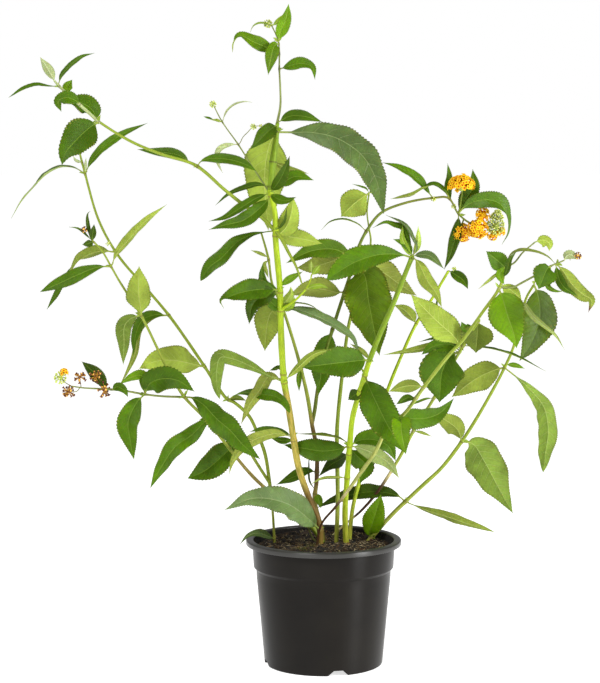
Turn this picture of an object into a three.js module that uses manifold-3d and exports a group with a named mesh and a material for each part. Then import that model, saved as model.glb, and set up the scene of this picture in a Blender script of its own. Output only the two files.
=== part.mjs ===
// Potted butterfly bush: a young shrub with eleven canes in a round nursery pot of peat.
// Millimetres, +Z up. The origin is the centre of the pot's underside, and the front is -Y.
import * as THREE from "three";
import { mergeVertices } from "three/addons/utils/BufferGeometryUtils.js";
import Module from "manifold-3d";

const wasm = await Module();
wasm.setup();

// Pot: a 17 cm nursery pot
const POT_HEIGHT = 137;
const LIP_RADIUS = 84.5;
const LIP_DROP = 5.5;
const COLLAR_RADIUS = 77.7;
const COLLAR_FOOT_RADIUS = 76.2;
const SHOULDER_TOP = 107.5;
const SHOULDER_BOTTOM = 104;
const BODY_RADIUS = 73.3;
const FOOT_RADIUS = 64.5;
const FOOT_CORNER = 2;
const FOOT_RING_SLOPE = 1;
const LIP_BEVEL = 1.2;
const WALL = 1.5;
const FLOOR_LIFT = 5;
const HUB_RADIUS = 30;
const HUB_SLOPE = 4;
const POT_SIDES = 48;
const NOTCH_COUNT = 4;
const NOTCH_TURN = 13.6;
const NOTCH_WIDE = 25;
const NOTCH_NARROW = 10;
const NOTCH_HEIGHT = 6;
const NOTCH_DEPTH = 12;
const NOTCH_START = -1;
const DRAIN_COUNT = 8;
const DRAIN_CIRCLE = 48;
const DRAIN_RADIUS = 4;
const DRAIN_LENGTH = 6;
const DRAIN_SIDES = 12;

// Soil: peat with a low crown, a little under the rim
const SOIL_CROWN = 128.5;
const SOIL_SHOULDER = 127.5;
const SOIL_EDGE = 127.5;
const SOIL_SHOULDER_RADIUS = 45;
const SOIL_EDGE_SPREAD = 0.5;

// Clearance between pieces that touch, and how close two corners count as one
const GAP = 0.35;
const SAME_CORNER = 1e-4;

// Canes and leaves
const STEM_SIDES = 6;
const STEM_STEP = 24;
const LEAF_SIDES = 4;
const GROWTH_SAMPLES = 400;
const LEAF_STATIONS = [0, 0.08, 0.16, 0.25, 0.35, 0.46, 0.57, 0.68, 0.79, 0.9, 1];
const PETIOLE_SHARE = 0.08;
const PETIOLE_HALF_WIDTH = 0.8;
const LEAF_HALF_THICKNESS = 0.5;
const THINNED_SHARE = 0.2;
const LEAF_TIP_HALF = 0.15;
const LEAF_FOLD = 0.28;
const LEAF_WIDEST = 0.39;
const LEAF_OUTLINE_POWER = 2.05;

// Flower heads
const HEAD_SIDES = 10;
const HEAD_ROWS = 8;

// Materials
const MATERIALS = {
  plastic: { color: 0x2b2a28, roughness: 0.45 },
  peat: { color: 0x2a1a10, roughness: 0.95 },
  bark: { color: 0x9a8a3a, roughness: 0.6 },
  stem: { color: 0x8fae2e, roughness: 0.6 },
  upper: { color: 0x3f7a1c, roughness: 0.5 },
  under: { color: 0xa3b860, roughness: 0.5 },
  orange: { color: 0xe09a20, roughness: 0.8 },
  withered: { color: 0x7a4a2a, roughness: 0.8 },
  buds: { color: 0x9aa84a, roughness: 0.8 },
};

// The outline of the bush is laid out as it looks from the front: a point is [x, z] on the
// upright plane through the pot's axis, seen from the eye, and a depth behind that plane.
// The outline's own zero lies a little to the left of the pot's axis.
const EYE = new THREE.Vector3(-25.7, -2200, 560);
const OUTLINE_SHIFT = 1.7;

// The canes lean away from the crown: higher up, their depths are spread apart
const CROWN_DEPTH = 20;
const FLARE = 2;
const FLARE_START = 130;
const FLARE_HEIGHT = 260;

function flared(z, depth) {
  const rise = THREE.MathUtils.clamp((z - FLARE_START) / FLARE_HEIGHT, 0, 1);
  return CROWN_DEPTH + (depth - CROWN_DEPTH) * THREE.MathUtils.lerp(1, FLARE, rise);
}

function placed(x, z, depth) {
  const spread = (depth - EYE.y) / -EYE.y;
  const aside = x - OUTLINE_SHIFT - EYE.x;
  return new THREE.Vector3(EYE.x + aside * spread, depth, EYE.z + (z - EYE.z) * spread);
}

function flattened(point) {
  const spread = (point.y - EYE.y) / -EYE.y;
  const aside = (point.x - EYE.x) / spread;
  return [EYE.x + aside + OUTLINE_SHIFT, EYE.z + (point.z - EYE.z) / spread];
}

// Stems: the cane that each one grows on, and rows of [x, z, depth, radius] from its root up
const STEMS = {
  tall: ["cane_tall", [
    [-2, 117, 14, 3.7], [-2, 145, 12, 3.6], [-5, 160, 11, 3.6], [-12, 176, 9, 3.5],
    [-25, 213, 4, 3.5], [-31, 247, 0, 3.4], [-37, 285, -8, 3.4], [-41, 308, -11, 3.3],
    [-44, 350, -18, 3.3], [-45, 386, -22, 3.2], [-46, 415, -25, 3.1], [-50, 460, -29, 3.0],
    [-51, 490, -31, 2.9], [-57, 513, -32, 2.8], [-53, 545, -30, 2.3], [-47, 585, -28, 1.9],
    [-45, 622, -24, 1.4], [-46, 643, -22, 1.1], [-47, 673, -20, 1.0], [-54, 690, -18, 0.8],
  ]],
  arm: ["cane_tall", [
    [-51, 472, -30, 2.0], [-66, 487, -31, 1.9], [-85, 500, -33, 1.8], [-105, 516, -36, 1.7],
    [-136, 542, -40, 1.6], [-170, 553, -42, 1.5], [-200, 565, -43, 1.4], [-220, 576, -44, 1.3],
    [-238, 587, -45, 1.2], [-252, 600, -46, 1.0], [-281, 626, -49, 0.9], [-287, 633, -50, 0.8],
  ]],
  twig: ["cane_tall", [
    [-57, 513, -32, 1.0], [-66, 527, -28, 1.0], [-76, 542, -25, 0.9], [-90, 564, -22, 0.9],
    [-107, 588, -21, 0.8], [-116, 605, -20, 0.6],
  ]],
  tall_shoot: ["cane_tall", [
    [-45, 386, -22, 2.0], [-26, 400, -31, 1.8], [-14, 416, -34, 1.5], [-7, 441, -36, 1.2],
  ]],
  tall_stub: ["cane_tall", [
    [-51, 472, -30, 2.2], [-45, 465, -32, 1.9], [-36, 448, -36, 1.6], [-28, 433, -38, 1.2],
  ]],
  slim: ["cane_slim", [
    [2, 117, 32, 2.4], [0, 145, 32, 2.4], [-8, 178, 30, 2.4], [-6, 200, 28, 2.3],
    [-6, 235, 24, 2.2], [-11, 262, 18, 2.2], [-16, 293, 10, 2.0], [-24, 327, 4, 1.8],
    [-34, 362, -3, 1.6], [-44, 392, -9, 1.5], [-54, 415, -10, 1.3], [-58, 442, -11, 1.2],
    [-66, 471, -12, 1.0],
  ]],
  flower: ["cane_flower", [
    [-11, 262, 18, 2.0], [-8, 278, 21, 2.0], [-5, 300, 20, 2.0], [1, 330, 20, 1.9],
    [14, 375, 26, 1.9], [27, 415, 31, 1.9], [40, 457, 37, 1.7], [49, 474, 39, 1.6],
    [63, 491, 41, 1.5], [90, 502, 44, 1.3], [119, 507, 47, 1.2], [135, 507, 48, 1.1],
    [146, 490, 50, 1.0], [157, 481, 50, 1.0], [170, 476, 52, 0.9], [184, 476, 58, 0.9],
  ]],
  flower_stalk: ["cane_flower", [[146, 490, 50, 1.0], [148, 500, 48, 1.0], [150, 516, 46, 0.9]]],
  flower_drop: ["cane_flower", [[152, 485, 50, 0.9], [150, 478, 55, 0.8], [150, 470, 56, 0.7]]],
  middle: ["cane_middle", [
    [15, 117, 24, 2.4], [17, 180, 26, 2.3], [16, 250, 28, 2.2], [17, 270, 29, 2.1],
    [21, 310, 32, 2.0], [29, 372, 36, 1.8], [42, 420, 44, 1.4], [52, 460, 52, 1.0],
    [50, 475, 54, 0.9], [48, 492, 54, 0.8], [50, 512, 53, 0.8],
  ]],
  bright: ["cane_bright", [
    [27, 117, 22, 3.1], [25, 165, 14, 3.0], [27, 200, 5, 2.9], [30, 240, -8, 2.9],
    [33, 270, -18, 2.8], [43, 305, -31, 2.8], [51, 332, -40, 2.7], [62, 360, -47, 2.7],
    [76, 392, -56, 2.6], [87, 420, -64, 2.5], [97, 445, -70, 2.4],
  ]],
  behind: ["cane_behind", [
    [29, 119, 36, 2.2], [33, 168, 40, 2.2], [42, 205, 50, 2.1], [54, 248, 60, 2.0],
    [69, 295, 66, 1.9], [86, 338, 74, 1.8], [101, 371, 80, 1.8], [119, 400, 82, 1.6],
    [136, 429, 84, 1.4],
  ]],
  front: ["cane_front", [
    [-7, 118, 3, 2.2], [-1, 152, -3, 2.2], [14, 171, -8, 2.1], [27, 188, -14, 2.1],
    [41, 208, -21, 2.0], [57, 231, -31, 2.0], [74, 264, -42, 1.9], [88, 273, -47, 1.9],
    [110, 303, -55, 1.8], [137, 338, -63, 1.8], [150, 352, -65, 1.7], [172, 383, -62, 1.6],
    [191, 411, -60, 1.5], [197, 432, -55, 1.3],
  ]],
  front_twig: ["cane_front", [
    [197, 432, -55, 0.9], [207, 438, -53, 0.9], [215, 448, -52, 0.8], [229, 460, -50, 0.7],
  ]],
  front_spur: ["cane_front", [
    [191, 411, -60, 1.1], [205, 411, -60, 1.1], [215, 416, -60, 1.1], [233, 426, -60, 1.0],
    [246, 434, -60, 0.9], [260, 440, -60, 0.7],
  ]],
  rear: ["cane_rear", [
    [-3, 126, 50, 2.0], [22, 150, 50, 2.0], [42, 167, 48, 2.0], [60, 188, 45, 1.9],
    [84, 226, 39, 1.8], [99, 255, 35, 1.8], [121, 291, 15, 1.7], [135, 318, 0, 1.6],
    [149, 342, -20, 1.6], [163, 366, -27, 1.4], [170, 376, -30, 1.2],
  ]],
  right: ["cane_right", [
    [43, 124, 35, 2.4], [53, 137, 38, 2.4], [75, 162, 44, 2.3], [90, 177, 48, 2.2],
    [110, 196, 52, 2.1], [130, 215, 53, 2.0], [151, 243, 52, 2.0], [168, 270, 46, 1.8],
    [188, 306, 38, 1.7], [197, 324, 32, 1.6], [206, 345, 24, 1.5], [216, 385, 14, 1.4],
    [220, 400, 12, 1.3], [228, 414, 8, 1.2],
  ]],
  left: ["cane_left", [
    [-51, 118, 22, 2.0], [-54, 170, 22, 2.0], [-57, 198, 24, 2.0], [-62, 230, 25, 1.9],
    [-70, 252, 26, 1.8], [-79, 271, 28, 1.8], [-95, 286, 29, 1.8], [-103, 290, 30, 1.8],
    [-113, 303, 31, 1.8], [-127, 325, 32, 1.7], [-164, 379, 35, 1.6], [-188, 408, 37, 1.5],
    [-220, 446, 40, 1.4], [-240, 483, 40, 1.3], [-254, 532, 40, 1.2], [-261, 560, 40, 1.0],
  ]],
  left_shoot: ["cane_left", [
    [-57, 198, 24, 1.8], [-66, 212, 23, 1.7], [-77, 230, 22, 1.6], [-90, 254, 20, 1.2],
  ]],
  low: ["cane_low", [
    [0, 119, 23, 2.0], [-15, 146, 22, 2.0], [-40, 172, 17, 2.0], [-67, 197, 10, 1.9],
    [-84, 215, 2, 1.8], [-110, 248, -8, 1.7], [-126, 268, -12, 1.7], [-149, 292, -18, 1.6],
    [-165, 318, -19, 1.4], [-178, 345, -20, 1.4], [-195, 380, -24, 1.3], [-218, 417, -29, 1.1],
    [-227, 433, -30, 1.0], [-238, 452, -31, 0.9], [-248, 462, -32, 0.8],
  ]],
  spray: ["cane_low", [
    [-149, 292, -18, 1.2], [-175, 293, -20, 1.1], [-192, 295, -21, 1.1], [-215, 299, -22, 1.0],
    [-240, 301, -23, 0.9], [-258, 302, -24, 0.8], [-272, 304, -24, 0.7],
  ]],
};

// Leaves: the stem and the place on it that each one grows from, the way its rib runs as
// [x, z, how far it has come forward], its width, and its turn about the rib in degrees at
// the base and the tip: 0 shows the upper face to the front, 180 the pale underside. The
// widest place is a share of the blade's length.
const LEAVES = {
  leaf_tip: {
    stem: "tall", from: [-46, 673], width: 14, turn: [10, 10],
    rib: [[-45, 682, 3], [-39, 697, 8], [-36, 713, 12]],
  },
  leaf_arching: {
    stem: "tall", from: [-46, 577], width: 31, turn: [-15, -15], widest: 0.56,
    rib: [
      [-30, 577, 6], [-12, 577, 12], [15, 571, 20],
      [42, 553, 26], [57, 528, 30], [66, 490, 34],
    ],
  },
  leaf_tall_behind: {
    stem: "tall", from: [-49, 580], width: 46, turn: [180, 180],
    rib: [[-58, 560, -14], [-62, 525, -26], [-58, 472, -36]],
  },
  leaf_crown_left: {
    stem: "tall", from: [-55, 509], width: 19, turn: [10, 10],
    rib: [[-65, 498, 12], [-85, 483, 26], [-105, 478, 34], [-122, 473, 38]],
  },
  leaf_drooping_left: {
    stem: "tall", from: [-52, 472], width: 17, turn: [60, 5], widest: 0.62,
    rib: [
      [-64, 470, 4], [-77, 467, 8], [-91, 460, 12],
      [-108, 443, 16], [-122, 432, 18], [-131, 418, 19],
    ],
  },
  leaf_tall_left: {
    stem: "tall", from: [-48, 408], width: 24, turn: [15, 15],
    rib: [[-60, 409, 8], [-80, 407, 22], [-97, 402, 32], [-110, 397, 40]],
  },
  leaf_tall_hanging: {
    stem: "tall", from: [-47, 388], width: 30, turn: [180, 180],
    rib: [[-55, 384, -10], [-60, 366, -20], [-62, 342, -26]],
  },
  leaf_tall_long: {
    stem: "tall", from: [-42, 388], width: 14, turn: [-50, -50],
    rib: [[-28, 387, 4], [-5, 379, 10], [18, 367, 16], [33, 355, 20], [40, 336, 22]],
  },
  leaf_bent_pale: {
    stem: "tall", from: [-41, 308], width: 13, turn: [175, 175],
    rib: [
      [-57, 315, 5], [-78, 326, 10], [-98, 334, 14], [-110, 335, 16],
      [-114, 322, 16], [-114, 305, 14], [-111, 290, 12],
    ],
  },
  leaf_arch_pale: {
    stem: "tall", from: [-32, 248], width: 14, turn: [165, 165],
    rib: [[-50, 252, 6], [-70, 247, 12], [-85, 238, 16], [-97, 222, 18], [-101, 207, 19]],
  },
  leaf_over_pot: {
    stem: "tall", from: [-3, 146], width: 32, turn: [20, 20],
    rib: [[-14, 158, 16], [-40, 176, 34], [-75, 181, 44], [-107, 168, 50]],
  },
  leaf_arm_right: {
    stem: "arm", from: [-134, 541], width: 12, turn: [-20, -20], widest: 0.5,
    rib: [[-130, 546, 3], [-120, 549, 8], [-100, 548, 14], [-83, 543, 18], [-71, 536, 20]],
  },
  leaf_arm_broad: {
    stem: "arm", from: [-239, 587], width: 34, turn: [5, 5],
    rib: [[-249, 582, 8], [-265, 567, 20], [-275, 555, 26], [-279, 542, 30]],
  },
  leaf_arm_tip: {
    stem: "arm", from: [-281, 626], width: 10, turn: [68, 68], widest: 0.5,
    rib: [[-292, 626, 2], [-306, 627, 4], [-320, 622, 6], [-335, 614, 7]],
  },
  leaf_left_sickle: {
    stem: "left", from: [-254, 533], width: 14, turn: [72, 100],
    rib: [
      [-265, 539, 3], [-280, 540, 6], [-296, 532, 8],
      [-310, 518, 10], [-323, 503, 11], [-334, 485, 12],
    ],
  },
  leaf_left_twisted: {
    stem: "left", from: [-222, 449], width: 22, turn: [170, 20],
    rib: [[-240, 450, 8], [-262, 440, 16], [-276, 418, 20], [-297, 387, 22]],
  },
  leaf_left_pale: {
    stem: "left", from: [-127, 325], width: 30, turn: [180, 180],
    rib: [[-140, 328, 22], [-160, 333, 48], [-180, 333, 68], [-196, 325, 82]],
  },
  leaf_left_across: {
    stem: "left", from: [-101, 290], width: 13, turn: [-30, 0], widest: 0.65,
    rib: [
      [-92, 295, 12], [-80, 297, 30], [-65, 295, 52],
      [-50, 292, 72], [-41, 286, 80], [-35, 275, 84],
    ],
  },
  leaf_left_low: {
    stem: "left_shoot", from: [-88, 250], width: 30, turn: [5, 5], widest: 0.5,
    rib: [[-95, 241, 10], [-112, 224, 24], [-128, 211, 32], [-146, 203, 38]],
  },
  leaf_low_tip: {
    stem: "low", from: [-227, 433], width: 15, turn: [10, 10], widest: 0.5,
    rib: [[-240, 433, 4], [-262, 425, 12], [-284, 415, 18], [-304, 406, 22]],
  },
  leaf_low_upright: {
    stem: "low", from: [-195, 380], width: 27, turn: [180, 180],
    rib: [[-196, 390, 8], [-198, 405, 16], [-197, 434, 24]],
  },
  leaf_low_broad: {
    stem: "low", from: [-149, 292], width: 26, turn: [0, 0], widest: 0.45,
    rib: [
      [-140, 291, 6], [-129, 284, 10], [-114, 268, 18],
      [-99, 255, 26], [-86, 240, 32], [-67, 224, 40],
    ],
  },
  leaf_low_slant: {
    stem: "low", from: [-126, 268], width: 20, turn: [10, 10], widest: 0.45,
    rib: [[-121, 272, 6], [-141, 251, 14], [-159, 238, 24], [-173, 218, 32], [-187, 192, 40]],
  },
  leaf_spray_top: {
    stem: "spray", from: [-192, 296], width: 28, turn: [0, 0],
    rib: [[-186, 307, 10], [-172, 312, 18], [-156, 310, 24], [-138, 298, 28]],
  },
  leaf_spray_hanging: {
    stem: "spray", from: [-192, 295], width: 24, turn: [10, 10],
    rib: [[-200, 287, 5], [-210, 265, 14], [-208, 245, 18], [-204, 223, 20]],
  },
  leaf_flower_left: {
    stem: "flower", from: [36, 446], width: 20, turn: [15, 15],
    rib: [[24, 448, 6], [12, 452, 12], [-12, 450, 22], [-39, 437, 32]],
  },
  leaf_flower_broad: {
    stem: "flower", from: [33, 437], width: 52, turn: [0, 0],
    rib: [[45, 425, 14], [50, 395, 28], [56, 365, 36], [62, 337, 40]],
  },
  leaf_flower_right: {
    stem: "flower", from: [146, 490], width: 20, turn: [-10, -75],
    rib: [
      [152, 498, 4], [163, 506, 8], [178, 507, 12],
      [192, 500, 14], [199, 480, 14], [192, 458, 13],
    ],
  },
  leaf_middle_round: {
    stem: "middle", from: [50, 512], width: 35, turn: [180, 180],
    rib: [[42, 507, 8], [32, 499, 18], [20, 487, 28]],
  },
  leaf_bright_top: {
    stem: "bright", from: [96, 443], width: 24, turn: [15, 15], widest: 0.5,
    rib: [[85, 446, 6], [60, 446, 16], [35, 438, 24], [18, 428, 30], [5, 419, 32]],
  },
  leaf_bright_light: {
    stem: "bright", from: [51, 332], width: 34, turn: [10, 10],
    rib: [[44, 332, 6], [25, 330, 18], [0, 327, 28], [-22, 324, 36]],
  },
  leaf_bright_broad: {
    stem: "bright", from: [46, 316], width: 44, turn: [5, 5],
    rib: [[50, 305, 8], [63, 280, 22], [80, 256, 32], [92, 228, 40]],
  },
  leaf_bright_left: {
    stem: "bright", from: [30, 239], width: 21, turn: [10, 10],
    rib: [[18, 237, -6], [0, 236, -12], [-20, 238, -18], [-42, 240, -24]],
  },
  leaf_front_hanging: {
    stem: "front", from: [190, 409], width: 38, turn: [0, 0],
    rib: [[194, 400, 6], [200, 380, 18], [207, 360, 24], [210, 345, 28]],
  },
  leaf_front_tip: {
    stem: "front_spur", from: [251, 437], width: 13, turn: [175, 175],
    rib: [[258, 430, 2], [268, 415, 4], [280, 404, 5], [290, 397, 6], [287, 384, 6]],
  },
  leaf_rear_pale: {
    stem: "rear", from: [149, 345], width: 32, turn: [180, 180],
    rib: [[143, 357, 12], [122, 376, 26], [95, 404, 40]],
  },
  leaf_right_pale: {
    stem: "right", from: [197, 324], width: 30, turn: [180, 180],
    rib: [[188, 322, -4], [168, 313, -10], [140, 292, -16]],
  },
  leaf_right_hanging: {
    stem: "right", from: [197, 324], width: 21, turn: [175, 175], widest: 0.6,
    rib: [
      [211, 313, 4], [224, 301, 0], [240, 281, -10],
      [245, 255, -18], [242, 229, -24], [240, 210, -28],
    ],
  },
  leaf_right_low: {
    stem: "right", from: [151, 243], width: 42, turn: [180, 180],
    rib: [[163, 241, -6], [176, 222, -18], [190, 196, -26], [208, 164, -30]],
  },
  leaf_right_long: {
    stem: "right", from: [91, 177], width: 13, turn: [-140, -140], widest: 0.5,
    rib: [[114, 168, 4], [136, 161, 8], [159, 153, 10], [188, 144, 12]],
  },
  leaf_right_upright: {
    stem: "right", from: [53, 138], width: 25, turn: [5, 5], widest: 0.45,
    rib: [[52, 143, 6], [54, 151, 11], [58, 164, 16], [64, 185, 22]],
  },
  leaf_right_grey: {
    stem: "right", from: [228, 414], width: 38, turn: [0, 0],
    rib: [[233, 400, 10], [234, 375, 22], [225, 350, 30], [213, 331, 34]],
  },
};

// Flower heads: the cane that carries each one, its balls as [x, z, depth, radius], and how
// far the lower half of each ball is flattened
const HEADS = {
  head_top: { cane: "cane_flower", balls: [[149, 517, 46, 16.5]], material: "orange", below: 0.3 },
  head_lower: { cane: "cane_flower", balls: [[150, 470, 57, 9.5]], material: "orange", below: 1 },
  head_middle: {
    cane: "cane_flower", material: "orange", below: 1,
    balls: [[167, 474, 48, 10.5], [172, 489, 49, 7.5]],
  },
  head_green: { cane: "cane_flower", balls: [[186, 476, 60, 11.5]], material: "buds", below: 1 },
  head_withered: { cane: "cane_low", balls: [[-236, 300, -23, 8.5]], material: "withered", below: 1 },
};

// Solids from geometries
function solid(geometry) {
  geometry.deleteAttribute("normal");
  geometry.deleteAttribute("uv");
  const merged = mergeVertices(geometry, SAME_CORNER);
  const shape = new wasm.Mesh({
    numProp: 3,
    vertProperties: new Float32Array(merged.getAttribute("position").array),
    triVerts: new Uint32Array(merged.getIndex().array),
  });
  return new wasm.Manifold(shape);
}

function largest(shape) {
  const pieces = shape.decompose();
  pieces.sort((a, b) => b.volume() - a.volume());
  return pieces[0];
}

function mesh(name, shape, material) {
  const data = shape.getMesh();
  const geometry = new THREE.BufferGeometry();
  const positions = new THREE.BufferAttribute(new Float32Array(data.vertProperties), data.numProp);
  geometry.setAttribute("position", positions);
  geometry.setIndex(new THREE.BufferAttribute(new Uint32Array(data.triVerts), 1));
  geometry.computeVertexNormals();
  const piece = new THREE.Mesh(geometry, new THREE.MeshStandardMaterial(MATERIALS[material]));
  piece.name = name;
  return piece;
}

// Turns the diagonals of every second strip of a cylinder's side. The two faces of a thin
// blade then bend along the same lines, and can't cross each other where it twists.
function matchDiagonals(geometry, sides, rings) {
  const corners = geometry.getIndex().array;
  for (let strip = 1; strip < sides; strip += 2) {
    for (let ring = 0; ring < rings; ring += 1) {
      const start = 6 * (strip * rings + ring);
      const [a, b, d, , c] = corners.slice(start, start + 6);
      corners.set([a, b, c, a, c, d], start);
    }
  }
}

// A closed rod: place(share along, x, z) puts each point of a unit cylinder where it belongs
function rod(sides, rings, place) {
  const geometry = new THREE.CylinderGeometry(1, 1, 1, sides, rings);
  matchDiagonals(geometry, sides, rings);
  const points = geometry.getAttribute("position");
  for (let index = 0; index < points.count; index += 1) {
    const share = points.getY(index) + 0.5;
    const point = place(share, points.getX(index), points.getZ(index));
    points.setXYZ(index, point.x, point.y, point.z);
  }
  return solid(geometry);
}

// Stems
function radiusAt(rows, t) {
  const place = t * (rows.length - 1);
  const index = Math.min(Math.floor(place), rows.length - 2);
  return THREE.MathUtils.lerp(rows[index][3], rows[index + 1][3], place - index);
}

function stemCurve(rows) {
  const points = rows.map(([x, z, depth]) => placed(x, z, flared(z, depth)));
  return new THREE.CatmullRomCurve3(points, false, "centripetal");
}

function stemSolid(rows, growth) {
  const curve = stemCurve(rows);
  const rings = Math.max(2, Math.ceil(curve.getLength() / STEM_STEP));
  const across = new THREE.Vector3(0, 1, 0);
  return rod(STEM_SIDES, rings, (share, x, z) => {
    const t = curve.getUtoTmapping(share);
    const tangent = curve.getTangent(t);
    const normal = across.clone().addScaledVector(tangent, -across.dot(tangent)).normalize();
    const side = new THREE.Vector3().crossVectors(tangent, normal);
    const radius = radiusAt(rows, t) + growth;
    return curve.getPoint(t).addScaledVector(side, x * radius).addScaledVector(normal, z * radius);
  });
}

function stemsOf(cane, growth) {
  const rows = Object.values(STEMS).filter(([owner]) => owner === cane);
  return rows.map(([, path]) => stemSolid(path, growth)).reduce((joined, next) => joined.add(next));
}

// Leaves
function bladeHalfWidth(share, width, widest) {
  const along = (share - PETIOLE_SHARE) / (1 - PETIOLE_SHARE);
  if (along <= 0) {
    return PETIOLE_HALF_WIDTH;
  }
  const rise = LEAF_OUTLINE_POWER * widest;
  const fall = LEAF_OUTLINE_POWER * (1 - widest);
  const outline = (v) => v ** rise * (1 - v) ** fall;
  const half = (width / 2) * (outline(along) / outline(widest));
  return Math.max(half, THREE.MathUtils.lerp(PETIOLE_HALF_WIDTH, LEAF_TIP_HALF, along));
}

function growthPoint(stem, [x, z]) {
  const samples = stemCurve(STEMS[stem][1]).getPoints(GROWTH_SAMPLES);
  const distance = (point) => {
    const [px, pz] = flattened(point);
    return Math.hypot(px - x, pz - z);
  };
  return samples.reduce((best, point) => (distance(point) < distance(best) ? point : best));
}

function leafSolid({ stem, from, width, turn, widest = LEAF_WIDEST, rib }) {
  const root = growthPoint(stem, from);
  const points = [root, ...rib.map(([x, z, forward]) => placed(x, z, root.y - forward))];
  const curve = new THREE.CatmullRomCurve3(points, false, "centripetal");
  const rings = LEAF_STATIONS.length - 1;
  return rod(LEAF_SIDES, rings, (ring, x, z) => {
    const share = LEAF_STATIONS[Math.round(ring * rings)];
    const t = curve.getUtoTmapping(share);
    const centre = curve.getPoint(t);
    const tangent = curve.getTangent(t);
    const normal = EYE.clone().sub(centre);
    normal.addScaledVector(tangent, -normal.dot(tangent)).normalize();
    const angle = THREE.MathUtils.lerp(turn[0], turn[1], share);
    normal.applyAxisAngle(tangent, THREE.MathUtils.degToRad(angle));
    const side = new THREE.Vector3().crossVectors(tangent, normal);
    const half = bladeHalfWidth(share, width, widest);
    const thinned = Math.min(1, share / THINNED_SHARE);
    const thickness = THREE.MathUtils.lerp(PETIOLE_HALF_WIDTH, LEAF_HALF_THICKNESS, thinned);
    const lift = Math.abs(x) * half * Math.sin(LEAF_FOLD) + z * Math.min(thickness, half);
    const spread = x * half * Math.cos(LEAF_FOLD);
    return centre.addScaledVector(side, spread).addScaledVector(normal, lift);
  });
}

// Pot and soil: round bodies from an outline of [radius, height]
function roundBody(outline) {
  const points = outline.map(([radius, height]) => new THREE.Vector2(radius, height));
  return solid(new THREE.LatheGeometry(points, POT_SIDES).rotateX(Math.PI / 2));
}

function potSolid() {
  const floorTop = FLOOR_LIFT + WALL;
  const lipEdge = POT_HEIGHT - LIP_DROP;
  const ringInside = FOOT_RADIUS - FOOT_CORNER - WALL;
  const body = roundBody([
    [0, 0],
    [HUB_RADIUS, 0],
    [HUB_RADIUS + HUB_SLOPE, FLOOR_LIFT],
    [ringInside - FOOT_RING_SLOPE, FLOOR_LIFT],
    [ringInside, 0],
    [FOOT_RADIUS - FOOT_CORNER, 0],
    [FOOT_RADIUS, FOOT_CORNER],
    [BODY_RADIUS, SHOULDER_BOTTOM],
    [COLLAR_FOOT_RADIUS, SHOULDER_TOP],
    [COLLAR_RADIUS, lipEdge + WALL],
    [LIP_RADIUS - WALL, lipEdge],
    [LIP_RADIUS, lipEdge],
    [LIP_RADIUS, POT_HEIGHT - LIP_BEVEL],
    [LIP_RADIUS - LIP_BEVEL, POT_HEIGHT],
    [COLLAR_RADIUS, POT_HEIGHT],
    [COLLAR_RADIUS - WALL, POT_HEIGHT - LIP_BEVEL],
    [COLLAR_FOOT_RADIUS - WALL, SHOULDER_TOP],
    [BODY_RADIUS - WALL, SHOULDER_BOTTOM],
    [FOOT_RADIUS - WALL, floorTop],
    [HUB_RADIUS + HUB_SLOPE, floorTop],
    [HUB_RADIUS, WALL],
    [0, WALL],
  ]);
  return [...notches(), ...drainHoles()].reduce((pot, cut) => pot.subtract(cut), body);
}

function notches() {
  const outline = new THREE.Shape();
  outline.moveTo(-NOTCH_WIDE / 2, NOTCH_START);
  outline.lineTo(NOTCH_WIDE / 2, NOTCH_START);
  outline.lineTo(NOTCH_NARROW / 2, NOTCH_HEIGHT);
  outline.lineTo(-NOTCH_NARROW / 2, NOTCH_HEIGHT);
  return Array.from({ length: NOTCH_COUNT }, (_, index) => {
    const geometry = new THREE.ExtrudeGeometry(outline, { depth: NOTCH_DEPTH, bevelEnabled: false });
    geometry.rotateX(Math.PI / 2);
    geometry.translate(0, -FOOT_RADIUS + NOTCH_DEPTH / 2, 0);
    geometry.rotateZ(THREE.MathUtils.degToRad(NOTCH_TURN + (index * 360) / NOTCH_COUNT));
    return solid(geometry);
  });
}

function drainHoles() {
  return Array.from({ length: DRAIN_COUNT }, (_, index) => {
    const geometry = new THREE.CylinderGeometry(DRAIN_RADIUS, DRAIN_RADIUS, DRAIN_LENGTH, DRAIN_SIDES);
    geometry.rotateX(Math.PI / 2);
    geometry.translate(0, -DRAIN_CIRCLE, FLOOR_LIFT + WALL / 2);
    geometry.rotateZ(THREE.MathUtils.degToRad(NOTCH_TURN + (index * 360) / DRAIN_COUNT));
    return solid(geometry);
  });
}

function soilSolid(roots) {
  const floorTop = FLOOR_LIFT + WALL + GAP;
  const inside = WALL + GAP;
  const body = roundBody([
    [0, inside],
    [HUB_RADIUS - GAP, inside],
    [HUB_RADIUS + HUB_SLOPE - GAP, floorTop],
    [FOOT_RADIUS - inside, floorTop],
    [BODY_RADIUS - inside, SHOULDER_BOTTOM],
    [COLLAR_FOOT_RADIUS - inside, SHOULDER_TOP + GAP],
    [COLLAR_FOOT_RADIUS - inside + SOIL_EDGE_SPREAD, SOIL_EDGE],
    [SOIL_SHOULDER_RADIUS, SOIL_SHOULDER],
    [0, SOIL_CROWN],
  ]);
  return roots.reduce((soil, root) => soil.subtract(root), body);
}

// Flower heads
function headSolid(balls, below) {
  const shapes = balls.map(([x, z, depth, radius]) => {
    const geometry = new THREE.SphereGeometry(radius, HEAD_SIDES, HEAD_ROWS).rotateX(Math.PI / 2);
    const points = geometry.getAttribute("position");
    for (let index = 0; index < points.count; index += 1) {
      const height = points.getZ(index);
      points.setZ(index, height < 0 ? height * below : height);
    }
    const centre = placed(x, z, flared(z, depth));
    return solid(geometry.translate(centre.x, centre.y, centre.z));
  });
  return shapes.reduce((joined, next) => joined.add(next));
}

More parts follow.
